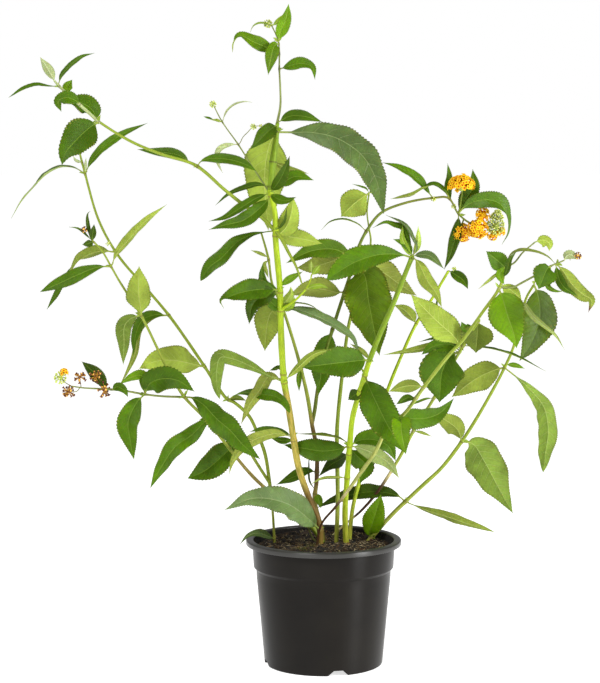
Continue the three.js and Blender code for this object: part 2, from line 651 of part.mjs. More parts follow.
// The whole bush
const canes = [...new Set(Object.values(STEMS).map(([cane]) => cane))];
const clearances = Object.fromEntries(canes.map((cane) => [cane, stemsOf(cane, GAP)]));
const bush = new THREE.Group();

bush.add(mesh("pot", potSolid(), "plastic"));
bush.add(mesh("soil", soilSolid(Object.values(clearances)), "peat"));

for (const cane of canes) {
  const shape = stemsOf(cane, 0);
  const seated = cane === "cane_flower" ? largest(shape.subtract(clearances.cane_slim)) : shape;
  bush.add(mesh(cane, seated, cane === "cane_tall" ? "bark" : "stem"));
}

for (const [name, leaf] of Object.entries(LEAVES)) {
  const [cane] = STEMS[leaf.stem];
  const seated = largest(leafSolid(leaf).subtract(clearances[cane]));
  bush.add(mesh(name, seated, Math.abs(leaf.turn[0]) > 90 ? "under" : "upper"));
}

for (const [name, { cane, balls, material, below }] of Object.entries(HEADS)) {
  const seated = largest(headSolid(balls, below).subtract(clearances[cane]));
  bush.add(mesh(name, seated, material));
}

export default bush;
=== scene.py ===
"""Looks of a potted butterfly bush: a young shrub with eleven canes in a round nursery pot.

Metres, +Z up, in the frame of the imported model. The stems, leaves and flower heads are laid
out in millimetres, as they look from the front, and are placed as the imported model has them.
"""
import math
import random

import bpy
import numpy as np
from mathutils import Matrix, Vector


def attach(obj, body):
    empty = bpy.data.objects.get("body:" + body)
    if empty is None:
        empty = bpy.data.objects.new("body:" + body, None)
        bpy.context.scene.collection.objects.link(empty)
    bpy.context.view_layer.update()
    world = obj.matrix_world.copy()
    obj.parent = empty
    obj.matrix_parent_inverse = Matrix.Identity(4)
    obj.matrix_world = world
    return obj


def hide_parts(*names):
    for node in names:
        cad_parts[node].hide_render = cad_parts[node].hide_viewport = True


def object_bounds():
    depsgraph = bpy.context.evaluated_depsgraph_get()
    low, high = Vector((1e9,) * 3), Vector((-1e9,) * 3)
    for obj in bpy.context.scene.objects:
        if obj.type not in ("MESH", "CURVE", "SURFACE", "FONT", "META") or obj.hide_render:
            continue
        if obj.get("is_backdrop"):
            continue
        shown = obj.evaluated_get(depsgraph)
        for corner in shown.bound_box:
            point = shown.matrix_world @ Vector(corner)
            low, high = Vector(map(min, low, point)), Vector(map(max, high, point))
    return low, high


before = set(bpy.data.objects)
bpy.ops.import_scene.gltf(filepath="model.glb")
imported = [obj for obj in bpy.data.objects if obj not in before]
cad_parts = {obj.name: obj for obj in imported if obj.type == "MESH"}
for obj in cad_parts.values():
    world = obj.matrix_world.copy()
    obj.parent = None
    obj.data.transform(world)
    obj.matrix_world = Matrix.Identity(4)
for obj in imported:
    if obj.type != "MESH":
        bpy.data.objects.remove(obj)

CAD_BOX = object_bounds()
SEED = 7
MM = 0.001
UP = (0, 0, 1)

# Outline of the bush: a point is (x, z) on the upright plane through the pot's axis, as the
# eye sees it, with a depth behind that plane, in millimetres
EYE = np.array((-25.7, -2200.0, 560.0))
OUTLINE_SHIFT = 1.7
CROWN_DEPTH = 20
FLARE = 2
FLARE_START = 130
FLARE_HEIGHT = 260

# Camera: it stands at the eye and looks a little down
CAMERA_LENS = 107.9
CAMERA_SENSOR = 36
CAMERA_DOWN = 5.39

# Lights: name, place, width and height in metres, power in watts
WORLD_STRENGTH = 0.36
LIGHTS = (
    ("key", (-1.1, -1.75, 2.2), (0.9, 0.9), 48),
    ("fill", (1.36, -0.85, 0.6), (0.5, 1.15), 24),
)
LIGHT_TARGET = (0, 0, 0.35)

# Floor, in millimetres
FLOOR_HALF = 40000
FLOOR_GLOW = 0.68

# Pot, in millimetres
POT_HEIGHT = 137
LIP_RADIUS = 84.5
LIP_DROP = 5.5
LIP_ROUND = 1.6
# Height of the band of painted shadow under the lip
UNDER_LIP_SHADOW_HEIGHT = 1.5
COLLAR_RADIUS = 77.7
COLLAR_FOOT_RADIUS = 76.2
SHOULDER_TOP = 107.5
SHOULDER_BOTTOM = 104
BODY_RADIUS = 73.3
FOOT_RADIUS = 64.5
FOOT_CORNER = 2
WALL = 1.5
FLOOR_LIFT = 5
HUB_RADIUS = 30
HUB_SLOPE = 4
HUB_CENTRE = 0.5
NOTCH_COUNT = 4
NOTCH_TURN = 13.6
NOTCH_WIDE = 25
NOTCH_NARROW = 10
NOTCH_HEIGHT = 6
NOTCH_DEPTH = 12
DRAIN_COUNT = 8
DRAIN_CIRCLE = 48
DRAIN_RADIUS = 4
DRAIN_SIDES = 24
POT_SIDES = 160
POT_CREASE = 35

# Soil, in millimetres; its waves are (pitch, height) and its spots of moss (x, y, spread, tufts)
SOIL_CROWN = 128.5
SOIL_SHOULDER = 127.5
SOIL_EDGE = 127.5
SOIL_SHOULDER_RADIUS = 45
SOIL_RADIUS = 75.6
SOIL_GAP = 0.4
SOIL_EDGE_FADE = 3
SOIL_BACK_RISE = 5
SOIL_BACK_START = 30
SOIL_BACK_REACH = 40
SOIL_RINGS = 72
SOIL_SIDES = 200
SOIL_WAVES = ((7, 0.7), (4.1, 0.5), (2.3, 0.4), (1.3, 0.25))
CHIP_COUNT = 1000
CHIP_CREASE = 25
BIG_CHIP_EVERY = 9
BARK_EVERY = 5
BARK_COUNT = 26
BARK_SPOT = (50, -38)
BARK_SPREAD = 4
BARK_MARGIN = 4
FIBRE_COUNT = 430
FIBRE_MARGIN = 2
MOSS_SPOTS = ((-20, -14, 5, 110), (-30, -45, 5, 60), (18, -60, 3, 30), (-12, 2, 4, 50))

# Leaves, in millimetres where they are lengths; leaves narrower than the full width have
# thinner stalks and ribs and finer teeth
FULL_WIDTH = 30
SMALL_WIDTH = 9
PETIOLE_SHARE = 0.08
PETIOLE_HALF_WIDTH = 0.8
PETIOLE_RINGS = 4
LEAF_TIP_HALF = 0.15
LEAF_OUTLINE_POWER = 2.05
LEAF_WIDEST = 0.39
LEAF_FOLD = 0.28
BLADE_HALF_THICKNESS = 0.16
THINNING_SHARE = 0.2
RELIEF_SHARE = 0.12
CUP_HEIGHT = 0.4
CUP_ROUNDING = 0.124
RIB_HEIGHT = 0.55
RIB_HALF_WIDTH = 0.8
RIB_SUNK = 0.25
TOOTH_PITCH = 2.6
TOOTH_FULL_WIDTH = 26
TOOTH_HEIGHT = 1.2
TOOTH_POINT = 0.68
TOOTH_SUNK = 0.35
VEIN_PAIRS = 12
VEIN_LEAST_PITCH = 2.2
VEIN_SLANT = 0.72
VEIN_BEND = 0.42
QUILT_HEIGHT = 0.45
QUILT_FADE = 0.6
MARGIN_RIPPLE = 0.04
MARGIN_WAVE = 0.08
MARGIN_BULGE = 0.05
ACROSS = (0, 0.07, 0.2, 0.4, 0.62, 0.83, 1)
BROWN_TIPS = ("leaf_front_tip",)

# Stems, in millimetres; their bulges at a node are (share of the radius, reach along the stem)
GROWTH_SAMPLES = 400
STEM_SIDES = 14
STEM_STEP = 1.6
STEM_CREASE = 70
STEM_RIDGES = 4
STEM_RIDGE = 0.04
STEM_WAVER = 0.03
STEM_WAVER_PITCH = 7
NODE_GAP = 9
NODE_SWELL = 1.6
NODE_BULGES = ((0.2, 2.8), (0.18, 1.4))
NODE_MOST = 0.38
TWIG_STEP = 1.5
TWIG_SIDES = 8
TWIG_TAPER = 0.8
TWIG_WOOD = 0.25
STEM_TONES = {
    "tall": "bright", "tall_shoot": "bright", "bright": "bright", "behind": "bright",
    "bright_top": "olive", "crown": "olive", "arm_end": "pale",
    "rear": "twig", "front": "twig", "flower": "dark", "flower_stalk": "dark",
    "flower_drop": "dark", "top": "grey", "twig": "grey", "spray": "grey",
    "front_twig": "grey", "front_spur": "grey",
}

# Woodiness of each stem by height: (height, share)
WOOD = {
    "usual": ((120, 0.3), (200, 0.1), (330, 0)),
    "tall": ((117, 0.7), (150, 0.85), (184, 0.85), (205, 0.42), (298, 0.4), (312, 0)),
    "flower": ((262, 0.2), (330, 0.05), (440, 0), (485, 0.12), (510, 0.25)),
    "slim": ((117, 0.3), (185, 0.5), (196, 0.95), (256, 0.85), (275, 0.2), (480, 0.1)),
    "low": ((119, 0.05), (160, 0.15), (190, 0.4), (198, 0.65), (220, 0.6), (232, 0.2), (470, 0.1)),
    "rear": ((126, 0.42), (149, 0.45), (154, 1), (185, 1), (215, 0.1), (400, 0)),
    "front": ((118, 0.9), (148, 1), (176, 0.95), (200, 0.25), (430, 0)),
}

# Stems: the cane each belongs to and its rows of (x, z, depth, radius) from the root up
STEMS = {
    "tall": ("cane_tall", [
        (-2, 117, 14, 3.3), (-2, 145, 12, 3.1), (-5, 160, 11, 3), (-12, 176, 9, 3.1),
        (-25, 213, 4, 3.5), (-31, 247, 0, 3.4), (-37, 285, -8, 3.4), (-41, 308, -11, 3.3),
        (-44, 350, -18, 3.3), (-45, 386, -22, 3.2), (-46, 415, -25, 3.1), (-50, 460, -29, 3),
        (-51, 490, -31, 2.9), (-56, 513, -32, 2.9), (-56, 517, -32, 2.8)]),
    "crown": ("cane_tall", [
        (-56, 513, -32, 3), (-53, 545, -30, 3.4), (-50, 566, -29, 3.1), (-48, 588, -28, 1.6)]),
    "top": ("cane_tall", [
        (-49, 584, -28, 1.4), (-45, 605, -26, 1.1), (-45, 622, -24, 0.95), (-46, 643, -22, 0.85),
        (-47, 673, -20, 0.75), (-54, 690, -18, 0.55)]),
    "arm": ("cane_tall", [
        (-51, 472, -30, 2), (-66, 487, -31, 1.9), (-85, 500, -33, 1.8), (-105, 516, -36, 1.7),
        (-136, 542, -40, 1.6), (-170, 553, -42, 1.5), (-200, 565, -43, 1.4), (-220, 576, -44, 1.3),
        (-240, 589, -45, 1.3)]),
    "arm_end": ("cane_tall", [
        (-238, 587, -45, 1.6), (-252, 600, -46, 1.5), (-281, 626, -49, 1.2), (-287, 633, -50, 0.9)]),
    "twig": ("cane_tall", [
        (-57, 513, -32, 0.9), (-66, 527, -28, 0.8), (-76, 542, -25, 0.7), (-90, 564, -22, 0.7),
        (-107, 588, -21, 0.6), (-116, 605, -20, 0.5)]),
    "tall_shoot": ("cane_tall", [
        (-45, 386, -22, 1.4), (-27, 399, -31, 1.1), (-15, 413, -34, 0.8), (-11, 426, -36, 0.5)]),
    "tall_stub": ("cane_tall", [
        (-51, 472, -30, 2.2), (-45, 465, -32, 1.9), (-36, 448, -36, 1.6), (-28, 433, -38, 1.2),
        (-22, 415, -36, 0.8)]),
    "slim": ("cane_slim", [
        (2, 117, 32, 2.4), (0, 145, 32, 2.4), (-8, 178, 30, 2.4), (-6, 200, 28, 2.3),
        (-6, 235, 24, 2.2), (-11, 262, 18, 2.2), (-16, 293, 10, 2), (-24, 327, 4, 1.8),
        (-34, 362, -3, 1.6), (-44, 392, -9, 1.5), (-54, 415, -10, 1.3), (-58, 442, -11, 1.2),
        (-66, 471, -12, 1)]),
    "flower": ("cane_flower", [
        (-11, 262, 18, 2), (-8, 278, 21, 2), (-5, 300, 20, 2), (1, 330, 20, 1.9), (14, 375, 26, 1.9),
        (27, 415, 31, 1.9), (40, 457, 37, 1.7), (49, 474, 39, 1.6), (63, 491, 41, 1.5),
        (90, 502, 44, 1.3), (119, 507, 47, 1.2), (135, 507, 48, 1.1), (146, 490, 50, 1),
        (157, 481, 50, 1), (170, 476, 52, 0.9), (184, 476, 58, 0.9)]),
    "flower_stalk": ("cane_flower", [(146, 490, 50, 1), (148, 500, 48, 1), (150, 516, 46, 0.9)]),
    "flower_drop": ("cane_flower", [(152, 485, 50, 0.9), (150, 478, 55, 0.8), (150, 470, 56, 0.7)]),
    "middle": ("cane_middle", [
        (15, 117, 24, 2.4), (17, 180, 26, 2.3), (16, 250, 28, 2.2), (17, 270, 29, 2.1),
        (21, 310, 32, 2), (29, 372, 36, 1.8), (42, 420, 44, 1.4), (52, 460, 52, 1), (50, 475, 54, 0.9),
        (48, 492, 54, 0.8), (50, 512, 53, 0.8)]),
    "bright": ("cane_bright", [
        (27, 117, 22, 3.1), (25, 165, 14, 3), (27, 200, 5, 2.9), (30, 240, -8, 2.9),
        (33, 270, -18, 2.8), (43, 305, -31, 2.8), (51, 332, -40, 2.7)]),
    "bright_top": ("cane_bright", [
        (51, 332, -40, 2.7), (62, 360, -47, 2.6), (76, 392, -56, 2.5), (87, 420, -64, 2.4),
        (97, 445, -70, 2.3)]),
    "behind": ("cane_behind", [
        (29, 119, 36, 2.2), (33, 168, 40, 2.2), (42, 205, 50, 2.1), (54, 248, 60, 2),
        (69, 295, 66, 1.9), (86, 338, 74, 1.8), (101, 371, 80, 1.8), (119, 400, 82, 1.6),
        (136, 429, 84, 1.4)]),
    "front": ("cane_front", [
        (-7, 118, 3, 1.3), (-1, 152, -3, 1.2), (14, 171, -8, 1.3), (27, 188, -14, 1.7),
        (41, 208, -21, 2), (57, 231, -31, 2), (74, 264, -42, 1.9), (88, 273, -47, 1.9),
        (110, 303, -55, 1.8), (137, 338, -63, 1.8), (150, 352, -65, 1.7), (172, 383, -62, 1.6),
        (191, 411, -60, 1.5), (197, 432, -55, 1.3)]),
    "front_twig": ("cane_front", [
        (197, 432, -55, 0.9), (207, 438, -53, 0.9), (215, 448, -52, 0.8), (229, 460, -50, 0.7)]),
    "front_spur": ("cane_front", [
        (191, 411, -60, 1.1), (205, 411, -60, 1.1), (215, 416, -60, 1.1), (233, 426, -60, 1),
        (246, 434, -60, 0.9), (260, 440, -60, 0.7)]),
    "rear": ("cane_rear", [
        (-3, 126, 50, 1.2), (22, 150, 50, 1.1), (42, 167, 48, 1.3), (60, 188, 45, 1.7),
        (84, 226, 39, 1.8), (99, 255, 35, 1.8), (121, 291, 15, 1.7), (135, 318, 0, 1.6),
        (149, 342, -20, 1.6), (163, 366, -27, 1.4), (170, 376, -30, 1.2)]),
    "right": ("cane_right", [
        (43, 124, 35, 2.4), (53, 137, 38, 2.4), (75, 162, 44, 2.3), (90, 177, 48, 2.2),
        (110, 196, 52, 2.1), (130, 215, 53, 2), (151, 243, 52, 2), (168, 270, 46, 1.8),
        (188, 306, 38, 1.7), (197, 324, 32, 1.6), (206, 345, 24, 1.5), (216, 385, 14, 1.4),
        (220, 400, 12, 1.3), (228, 414, 8, 1.2)]),
    "left": ("cane_left", [
        (-51, 118, 22, 1.3), (-54, 170, 22, 1.4), (-57, 198, 24, 1.9), (-62, 230, 25, 1.9),
        (-70, 252, 26, 1.8), (-79, 271, 28, 1.8), (-95, 286, 29, 1.8), (-103, 290, 30, 1.8),
        (-113, 303, 31, 1.8), (-127, 325, 32, 1.7), (-164, 379, 35, 1.6), (-188, 408, 37, 1.5),
        (-220, 446, 40, 1.4), (-240, 483, 40, 1.3), (-254, 532, 40, 1.2), (-261, 560, 40, 1)]),
    "left_shoot": ("cane_left", [
        (-57, 198, 24, 1.8), (-66, 212, 23, 1.7), (-77, 230, 22, 1.6), (-90, 254, 20, 1.2)]),
    "low": ("cane_low", [
        (7, 119, 24, 2.7), (-8, 146, 23, 2.6), (-36, 171, 18, 2.1), (-67, 197, 10, 1.9),
        (-84, 215, 2, 1.8), (-110, 248, -8, 1.7), (-126, 268, -12, 1.7), (-149, 292, -18, 1.6),
        (-165, 318, -19, 1.4), (-178, 345, -20, 1.4), (-195, 380, -24, 1.3), (-218, 417, -29, 1.1),
        (-227, 433, -30, 1), (-238, 452, -31, 0.9), (-248, 462, -32, 0.8)]),
    "spray": ("cane_low", [
        (-149, 292, -18, 1.2), (-175, 293, -20, 1.1), (-192, 295, -21, 1.1), (-215, 299, -22, 1),
        (-240, 301, -23, 0.9), (-258, 302, -24, 0.8), (-272, 304, -24, 0.7)]),
}

# Leaves, each its own piece: stem, place on it, width, turn about the rib, or turns from base
# to tip (0 shows the upper face, 180 the pale underside), shade, the rib as rows of (x, z, how
# far it has come forward), and the widest place where it is not the usual one
LEAVES = {
    "leaf_tip": ("top", (-46, 673), 14, 10, "bright", [(-45, 682, 3), (-39, 697, 8), (-36, 713, 12)]),
    "leaf_arching": ("crown", (-46, 577), 32, (-15, 15), "grey", [
        (-30, 577, 6), (-12, 577, 12), (15, 571, 20), (42, 553, 26), (57, 528, 30),
        (66, 490, 34)], 0.5),
    "leaf_tall_behind": ("crown", (-49, 580), 46, 180, "light", [
        (-58, 560, -14), (-62, 525, -26), (-58, 472, -36)]),
    "leaf_crown_left": ("tall", (-55, 509), 16, 10, "mid", [
        (-65, 498, 12), (-85, 483, 26), (-105, 478, 34), (-122, 473, 38)]),
    "leaf_drooping_left": ("tall", (-52, 472), 17, (60, 5), "mid", [
        (-64, 470, 4), (-77, 467, 8), (-91, 460, 12), (-108, 443, 16), (-122, 432, 18),
        (-131, 418, 19)], 0.62),
    "leaf_tall_left": ("tall", (-48, 408), 24, (15, 15, 15, 30, 110), "mid", [
        (-60, 409, 8), (-80, 407, 22), (-97, 402, 32), (-109, 396, 39), (-106, 388, 42)]),
    "leaf_tall_hanging": ("tall", (-47, 388), 30, 180, "mid", [
        (-55, 384, -10), (-60, 366, -20), (-62, 342, -26)]),
    "leaf_tall_long": ("tall", (-42, 388), 17, -50, "ash", [
        (-28, 387, 4), (-5, 379, 10), (18, 367, 16), (33, 355, 20), (40, 336, 22)]),
    "leaf_bent_pale": ("tall", (-41, 308), 16, 175, "faded", [
        (-57, 315, 5), (-78, 326, 10), (-98, 334, 14), (-110, 335, 16), (-114, 322, 16),
        (-114, 305, 14), (-111, 290, 12)], 0.6),
    "leaf_arch_pale": ("tall", (-32, 248), 14, 165, "olive", [
        (-50, 252, 6), (-70, 247, 12), (-85, 238, 16), (-97, 222, 18), (-101, 207, 19)]),
    "leaf_over_pot": ("tall", (-3, 146), 32, 20, "ash", [
        (-14, 158, 16), (-40, 176, 34), (-75, 181, 44), (-107, 168, 50)]),
    "leaf_arm_right": ("arm", (-134, 541), 12, -20, "mid", [
        (-130, 546, 3), (-120, 549, 8), (-100, 548, 14), (-83, 543, 18), (-71, 536, 20)], 0.5),
    "leaf_arm_broad": ("arm_end", (-239, 588), 34, 5, "mid", [
        (-249, 582, 8), (-265, 567, 20), (-275, 555, 26), (-279, 542, 30)]),
    "leaf_arm_tip": ("arm_end", (-281, 626), 10, 68, "mid", [
        (-292, 626, 2), (-306, 627, 4), (-320, 622, 6), (-335, 614, 7)], 0.5),
    "leaf_left_sickle": ("left", (-254, 533), 14, (72, 100), "grey", [
        (-265, 539, 3), (-280, 540, 6), (-296, 532, 8), (-310, 518, 10), (-323, 503, 11),
        (-334, 485, 12)]),
    "leaf_left_twisted": ("left", (-222, 449), 22, (170, 20), "mid", [
        (-240, 450, 8), (-262, 440, 16), (-276, 418, 20), (-297, 387, 22)]),
    "leaf_left_pale": ("left", (-127, 325), 33, 180, "light", [
        (-140, 328, 22), (-160, 332, 48), (-180, 331, 68), (-198, 323, 82)], 0.46),
    "leaf_left_across": ("left", (-101, 290), 13, (-30, 0), "mid", [
        (-92, 295, 12), (-80, 297, 30), (-65, 295, 52), (-50, 292, 72), (-41, 286, 80),
        (-35, 275, 84)], 0.65),
    "leaf_left_low": ("left_shoot", (-88, 250), 30, 5, "mid", [
        (-95, 241, 10), (-112, 224, 24), (-128, 211, 32), (-146, 203, 38)], 0.5),
    "leaf_low_tip": ("low", (-227, 433), 15, 10, "mid", [
        (-240, 433, 4), (-262, 425, 12), (-284, 415, 18), (-304, 406, 22)], 0.5),
    "leaf_low_upright": ("low", (-195, 380), 27, 180, "mid", [
        (-196, 390, 8), (-198, 405, 16), (-197, 434, 24)]),
    "leaf_low_broad": ("low", (-149, 292), 26, 0, "mid", [
        (-140, 291, 6), (-129, 284, 10), (-114, 268, 18), (-99, 255, 26), (-86, 240, 32),
        (-67, 224, 40)], 0.45),
    "leaf_low_slant": ("low", (-126, 268), 20, 10, "mid", [
        (-121, 272, 6), (-141, 251, 14), (-159, 238, 24), (-173, 218, 32), (-187, 192, 40)], 0.45),
    "leaf_spray_top": ("spray", (-192, 296), 28, 0, "mid", [
        (-186, 307, 10), (-172, 312, 18), (-156, 310, 24), (-138, 298, 28)]),
    "leaf_spray_hanging": ("spray", (-192, 295), 24, 10, "mid", [
        (-200, 287, 5), (-210, 265, 14), (-208, 245, 18), (-204, 223, 20)]),
    "leaf_flower_left": ("flower", (36, 446), 22, 15, "bright", [
        (24, 448, 6), (12, 452, 12), (-12, 450, 22), (-39, 437, 32)]),
    "leaf_flower_broad": ("flower", (33, 437), 52, 0, "deep", [
        (45, 425, 14), (50, 395, 28), (56, 365, 36), (62, 337, 40)]),
    "leaf_flower_right": ("flower", (146, 490), 21, (0, 0, -5, -35, -72, -80, -80), "sheen", [
        (152, 497, 4), (163, 503, 9), (177, 505, 13), (191, 500, 15), (199, 485, 15), (199, 470, 14),
        (193, 457, 13)], 0.42),
    "leaf_middle_round": ("middle", (50, 512), 35, 180, "light", [
        (42, 507, 8), (32, 499, 18), (20, 487, 28)]),
    "leaf_bright_top": ("bright_top", (96, 443), 28, 15, "mid", [
        (85, 446, 6), (60, 446, 16), (35, 438, 24), (18, 428, 30), (5, 419, 32)], 0.6),
    "leaf_bright_light": ("bright", (51, 332), 34, 10, "mid", [
        (44, 332, 6), (25, 330, 18), (0, 327, 28), (-22, 324, 36)]),
    "leaf_bright_broad": ("bright", (46, 316), 37, 5, "mid", [
        (50, 305, 6), (60, 283, 14), (74, 256, 22), (90, 231, 27)]),
    "leaf_bright_left": ("bright", (30, 239), 26, 10, "mid", [
        (18, 235, -6), (0, 233, -12), (-20, 236, -18), (-42, 240, -24)]),
    "leaf_front_hanging": ("front", (190, 409), 38, 0, "bright", [
        (194, 400, 6), (200, 380, 18), (207, 360, 24), (210, 345, 28)]),
    "leaf_front_tip": ("front_spur", (251, 437), 17, 175, "mid", [
        (258, 430, 2), (268, 415, 4), (280, 404, 5), (290, 397, 6), (287, 384, 6)]),
    "leaf_rear_pale": ("rear", (149, 345), 32, 180, "light", [
        (143, 357, 12), (122, 376, 26), (95, 404, 40)]),
    "leaf_right_pale": ("right", (197, 324), 32, 180, "mid", [
        (188, 322, -4), (168, 313, -10), (140, 292, -16)]),
    "leaf_right_hanging": ("right", (197, 324), 22, 175, "faded", [
        (211, 313, 4), (224, 301, 0), (240, 281, -10), (245, 255, -18), (242, 229, -24),
        (240, 210, -28)], 0.6),
    "leaf_right_low": ("right", (151, 243), 44, 180, "faded", [
        (163, 241, -6), (176, 222, -18), (190, 196, -26), (208, 164, -30)], 0.36),
    "leaf_right_long": ("right", (91, 177), 13, -140, "mid", [
        (114, 168, 4), (136, 161, 8), (159, 153, 10), (188, 144, 12)], 0.5),
    "leaf_right_upright": ("right", (53, 138), 25, 5, "bright", [
        (52, 143, 6), (54, 151, 11), (58, 164, 16), (64, 185, 22)], 0.45),
    "leaf_right_grey": ("right", (228, 414), 38, 0, "gloss", [
        (233, 400, 10), (234, 375, 22), (225, 350, 30), (213, 331, 34)]),
}

